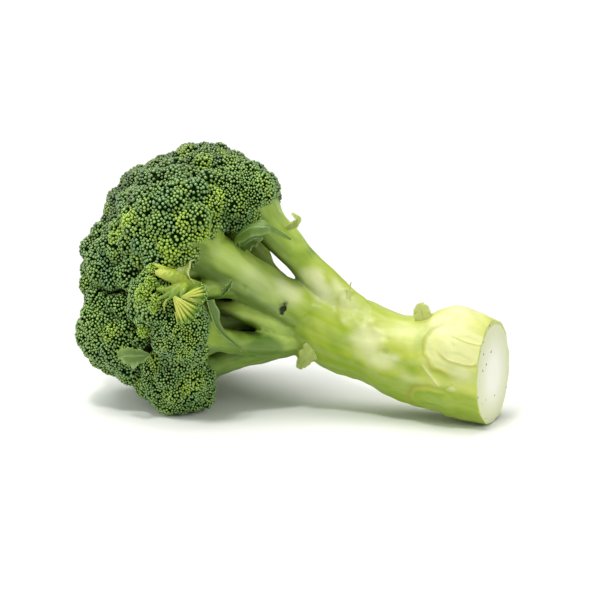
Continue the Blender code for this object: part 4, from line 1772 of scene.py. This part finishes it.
@dataclass
class BrokenFloret:
    """A small crown that was broken open: torn pale stems, two ribbed fans, and young buds round them."""

    grain: float = 0.35  # the torn stems' finest detail
    rounds: int = 3  # how many times they are softened
    fan_thickness: float = 0.8
    # the torn stems: x, y, z and radius along each
    stems: tuple = (
        # a thick torn stub that ends blunt, and how it goes on to the fans
        (
            (-32.6, -42, 60.5, 3.0), (-34.8, -51, 64.3, 2.9), (-36.9, -56, 67.3, 2.9),
            (-40.6, -58, 69, 2.4), (-45.4, -57, 69.4, 1.4),
        ),
        ((-35.0, -55.0, 64.2, 2.5), (-35.4, -58.5, 62.2, 2.2), (-36.2, -60.0, 59.9, 1.3)),
        ((-33.2, -55.0, 63.9, 1.8), (-32.2, -59.0, 62.6, 1.3), (-32.8, -60.5, 60.2, 0.9)),
        # a greyer one behind it
        (
            (-38.5, -49.0, 68.5, 1.2), (-41.2, -51.0, 69.2, 1.2), (-43.2, -55.0, 71.1, 1.1),
            (-47.6, -54.5, 72.3, 0.8),
        ),
        # short ones to the side
        (
            (-36.5, -57.0, 64.5, 1.6), (-37.5, -58.0, 63.3, 1.5), (-41.2, -59.0, 62.4, 1.1),
            (-44.7, -58.5, 62.5, 0.8),
        ),
        (
            (-36.5, -58.0, 62.5, 1.2), (-37.5, -59.0, 61.8, 1.2), (-40.4, -60.0, 60.0, 0.9),
            (-43.7, -60.0, 58.5, 0.7),
        ),
        # thin torn strands
        (
            (-36.6, -59.8, 60.2, 0.6), (-38.7, -61.2, 58.8, 0.55), (-40.1, -61.6, 56.9, 0.5),
            (-40.2, -61.3, 53.7, 0.42),
        ),
        ((-35.0, -62.0, 53.8, 0.5), (-34.1, -62.6, 51.4, 0.45), (-33.5, -62.4, 48.8, 0.42)),
        ((-32.6, -61.0, 59.9, 0.6), (-27.3, -61.5, 59.9, 0.5), (-23.7, -60.5, 57.8, 0.42)),
    )
    fans: tuple = (
        Fan(
            (-32.8, -60.8, 59.9),
            (
                (-24.7, -58.8, 65.6), (-23.2, -59.2, 64.3), (-22.3, -59.7, 62.5), (-22.8, -59.7, 60.3),
                (-24.0, -59.7, 57.6),
            ),
            (0.0, -1.2, 0.4),
            4,
        ),
        Fan(
            (-36.3, -60.8, 60.7),
            (
                (-33.7, -62.0, 50.4), (-31.7, -62.3, 50.0), (-29.5, -62.2, 50.5), (-27.6, -61.8, 51.7),
                (-25.9, -61.3, 54.1), (-24.6, -60.5, 56.4),
            ),
            (0.6, -1.6, 0.5),
            6,
        ),
    )
    # balls of young buds: x, y, z and radius
    clusters: tuple = (
        (-47.9, -57.5, 65.0, 2.5), (-52.0, -57.5, 59.5, 2.6), (-45.1, -58.8, 57.9, 2.0),
        (-46.5, -58.4, 53.9, 2.2), (-41.7, -57.6, 62.4, 1.7), (-53.5, -53.2, 42.2, 2.6),
        (-48.4, -55.0, 70.4, 1.9),
    )
    bud_pitch: float = 0.98
    seed: int = 21
    bud: Ball = Ball(6, (33.0, 82.0, 128.0))

    def body(self) -> Shape:
        """The torn stems grown together as one skin, which is uneven by smooth noise.

        Returns:
            One shape with paints "ridge" and "end".
        """
        shapes = [Shape(*swept(smooth_rows(stem, 6), 12)) for stem in self.stems]
        mesh = grown(shapes, "floret_skin", self.grain, self.rounds)
        points = places_of(mesh)
        corners = np.empty(len(mesh.loops), np.int32)
        mesh.loops.foreach_get("vertex_index", corners)
        sizes = np.empty(len(mesh.polygons), np.int32)
        mesh.polygons.foreach_get("loop_total", sizes)
        out = unit(points - np.array([-37.0, -50.0, 62.0]))
        points = points + 0.12 * waves(points, 2.6, 41)[:, None] * out
        ridge = 0.4 * smooth_step(0.3, 1.3, waves(points, 3.0, 42))
        ridge = ridge + 0.4 * smooth_step(-37.0, -43.0, points[:, 0])
        ridge = ridge * smooth_step(62.0, 67.0, points[:, 2]) + 0.5 * smooth_step(-61.0, -62.0, points[:, 1])
        ridge = np.clip(ridge, 0.0, 1.0)
        paint = {"ridge": ridge, "end": 0.7 * smooth_step(67.0, 61.0, points[:, 2])}
        return Shape(points, corners, sizes, None, paint)

    def build(self, flesh: bpy.types.Material, bud_skin: bpy.types.Material) -> None:
        """Makes the torn stems, the fans and the buds on them.

        Args:
            flesh: the finish of the stems and fans.
            bud_skin: the buds' finish.
        """
        piece(mesh_of(self.body(), "broken_floret_stems"), [flesh], ("broken_floret",))
        for number, fan in enumerate(self.fans):
            made = piece(mesh_of(fan.grid(), f"broken_floret_fan_{number}"), [flesh])
            thicken(made, self.fan_thickness)
        self.buds(bud_skin)

    def buds(self, bud_skin: bpy.types.Material) -> None:
        """Small young buds over the clusters and along the fans' ends.

        Args:
            bud_skin: their finish.
        """
        draw = np.random.default_rng(self.seed)
        places, ways, ages = [], [], []
        for *place, radius in self.clusters:
            for shell in (1.0, 0.78):
                way = fibonacci_ways(round(4.0 * math.pi * (radius * shell) ** 2 / (0.8 * self.bud_pitch**2)))
                way = unit(way + draw.normal(0.0, 0.12, way.shape))
                way = way[way @ unit(np.array([-0.1, -0.9, 0.3])) > -0.45]
                reach = way * radius * shell * draw.uniform(0.82, 1.12, (len(way), 1))
                places.append(np.array(place) + reach)
                ways.append(way)
                ages.append(np.full(len(way), 0.9))
        for fan in self.fans:
            line = smooth_rows(np.array(fan.tips, float), 7)
            out = unit(line - np.array(fan.root, float))
            for _ in range(3):
                way = unit(out + draw.normal(0.0, 0.45, line.shape))
                along = way * draw.uniform(0.2, 0.9, (len(line), 1))
                places.append(line + along + draw.normal(0.0, 0.25, line.shape))
                ways.append(way)
                ages.append(np.full(len(way), 0.45))
        places, ways, ages = np.vstack(places), np.vstack(ways), np.concatenate(ages)
        gaps = np.full(len(places), 0.62 * self.bud_pitch)
        stays = well_spaced(places, gaps, draw.permutation(len(places)))
        places, ways, ages = places[stays], ways[stays], ages[stays]
        count = len(places)
        width = 0.5 * self.bud_pitch * draw.uniform(0.75, 1.2, count)
        scales = np.stack([width, width, width * 1.35], 1)
        shape = self.bud.copies(places, frames_on(ways, draw.uniform(0, FULL_TURN, count)), scales, 0.95)
        each = len(shape.points) // count
        shape.paint["tone"] = np.repeat(draw.uniform(0, 1, count), each)
        shape.paint["young"] = np.repeat(np.clip(ages * draw.uniform(0.6, 1.1, count), 0.0, 1.0), each)
        shape.paint["weathered"] = np.zeros(len(shape.points))
        shape.uv = cells(shape.uv, 0, count, count)
        piece(mesh_of(shape, "broken_floret_buds"), [bud_skin])


# ---- Stage ----


@dataclass
class Stage:
    """A white sweep, soft light from above and a long lens."""

    target: tuple = (0.0, 0.0, 49.0)
    azimuth_deg: float = 19.0
    elevation_deg: float = 12.0
    distance: float = 900.0
    width_at_target: float = 270.0
    sensor: float = 36.0
    room_light: float = 0.4
    # name, place, side and watts
    lights: tuple = (
        ("overhead_softbox", (-200.0, 150.0, 850.0), 850.0, 7.0),
        ("left_softbox", (-650.0, -250.0, 350.0), 450.0, 2.0),
        ("right_softbox", (640.0, -300.0, 380.0), 450.0, 1.6),
        ("small_key", (-60.0, -380.0, 760.0), 120.0, 2.4),
    )
    table: float = 200.0  # the floor is plain white light from here out
    floor_reach: float = 3.0  # half of its side, in metres
    white: float = 1.05  # how bright what is behind the object looks

    def back(self) -> np.ndarray:
        """The way from the target to the camera."""
        a, e = math.radians(self.azimuth_deg), math.radians(self.elevation_deg)
        return np.array([math.sin(a) * math.cos(e), -math.cos(a) * math.cos(e), math.sin(e)])

    def camera(self) -> None:
        """Looks at the target from the side and a little above."""
        lens = bpy.data.cameras.new("camera")
        lens.sensor_width = self.sensor
        lens.lens = self.sensor * self.distance / self.width_at_target
        lens.clip_end = 20.0
        made = put("camera", lens)
        made.location = in_row(np.array(self.target) + self.back() * self.distance)
        made.rotation_euler = Vector(self.back()).to_track_quat("Z", "Y").to_euler()
        bpy.context.scene.camera = made

    def floor(self) -> None:
        """A wide white card under the object, which is lit to plain white from table outwards."""
        mesh = bpy.data.meshes.new("floor")
        corners = np.array([(-1, -1, 0), (1, -1, 0), (1, 1, 0), (-1, 1, 0)]) * self.floor_reach
        mesh.from_pydata(corners.tolist(), [], [(0, 1, 2, 3)])
        made = put("floor", mesh)
        white, shader, add = new_material(
            "white_card", Base_Color="#F4F5F1", Roughness=0.9, Specular_IOR_Level=0.1
        )
        away = add(*LENGTH, in0=add(*MOVED, Vector=add(*PLACE), Scale=(1.0, 1.6, 0.0)))
        far = add(*SPREAD, Value=away, From_Min=0.6 * self.table * MM, From_Max=self.table * MM)
        lit = add("ShaderNodeEmission", 0, {}, Color="#FFFFFF", Strength=self.white)
        card = add("ShaderNodeMixShader", 0, {}, in0=far, in1=shader.outputs[0], in2=lit)
        feed(white.node_tree.nodes["Material Output"], Surface=card)
        mesh.materials.append(white)

    def softbox(self, name: str, place: tuple, size: float, power: float) -> None:
        """A square area light that looks at the target.

        Args:
            name: what it is called.
            place: where it is.
            size: its side.
            power: its watts.
        """
        light = bpy.data.lights.new(name, "AREA")
        light.size = size * MM
        light.energy = power
        made = put(name, light)
        made.location = in_row(place)
        way = Vector(np.array(place, float) - np.array(self.target))
        made.rotation_euler = way.to_track_quat("Z", "Y").to_euler()

    def world(self) -> None:
        """A white room, dimmer to the object than to the camera."""
        world = bpy.data.worlds.new("white_room")
        world.use_nodes = True
        tree = world.node_tree
        room = tree.nodes["Background"]
        feed(room, Color="#FFFFFF", Strength=self.room_light)
        wall = add_node(tree, "ShaderNodeBackground", 0, {}, Color="#FFFFFF", Strength=self.white)
        seen = add_node(tree, "ShaderNodeLightPath", 0, {})
        either = add_node(tree, "ShaderNodeMixShader", 0, {}, in0=seen, in1=room.outputs[0], in2=wall)
        feed(tree.nodes["World Output"], Surface=either)
        bpy.context.scene.world = world

    def build(self) -> None:
        """Sets the camera, floor, lights and the plain colour transform."""
        self.camera()
        self.floor()
        self.world()
        for light in self.lights:
            self.softbox(*light)
        bpy.context.scene.view_settings.view_transform = "Standard"


def main() -> None:
    """Builds each sub-assembly in order."""
    logging.basicConfig(level=logging.INFO, format="%(name)s %(message)s")
    Stage().build()
    crowns = Crowns()
    bud_skin = BudSkin().make()
    crowns.build(bud_skin, Flesh().make())
    Stalk(crowns).build(StalkSkin().make(), CutFace().make())
    blade = LeafBlade().make()
    for leaf in LEAVES:
        leaf.build(blade)
    bract = LeafBlade("torn_leaf_base", "#C0CA70", "#7E962A", "#D2D894").make()
    for leaf in BRACTS:
        leaf.build(bract)
    BrokenFloret().build(YoungStem().make(), bud_skin)


if __name__ == "__main__":
    main()
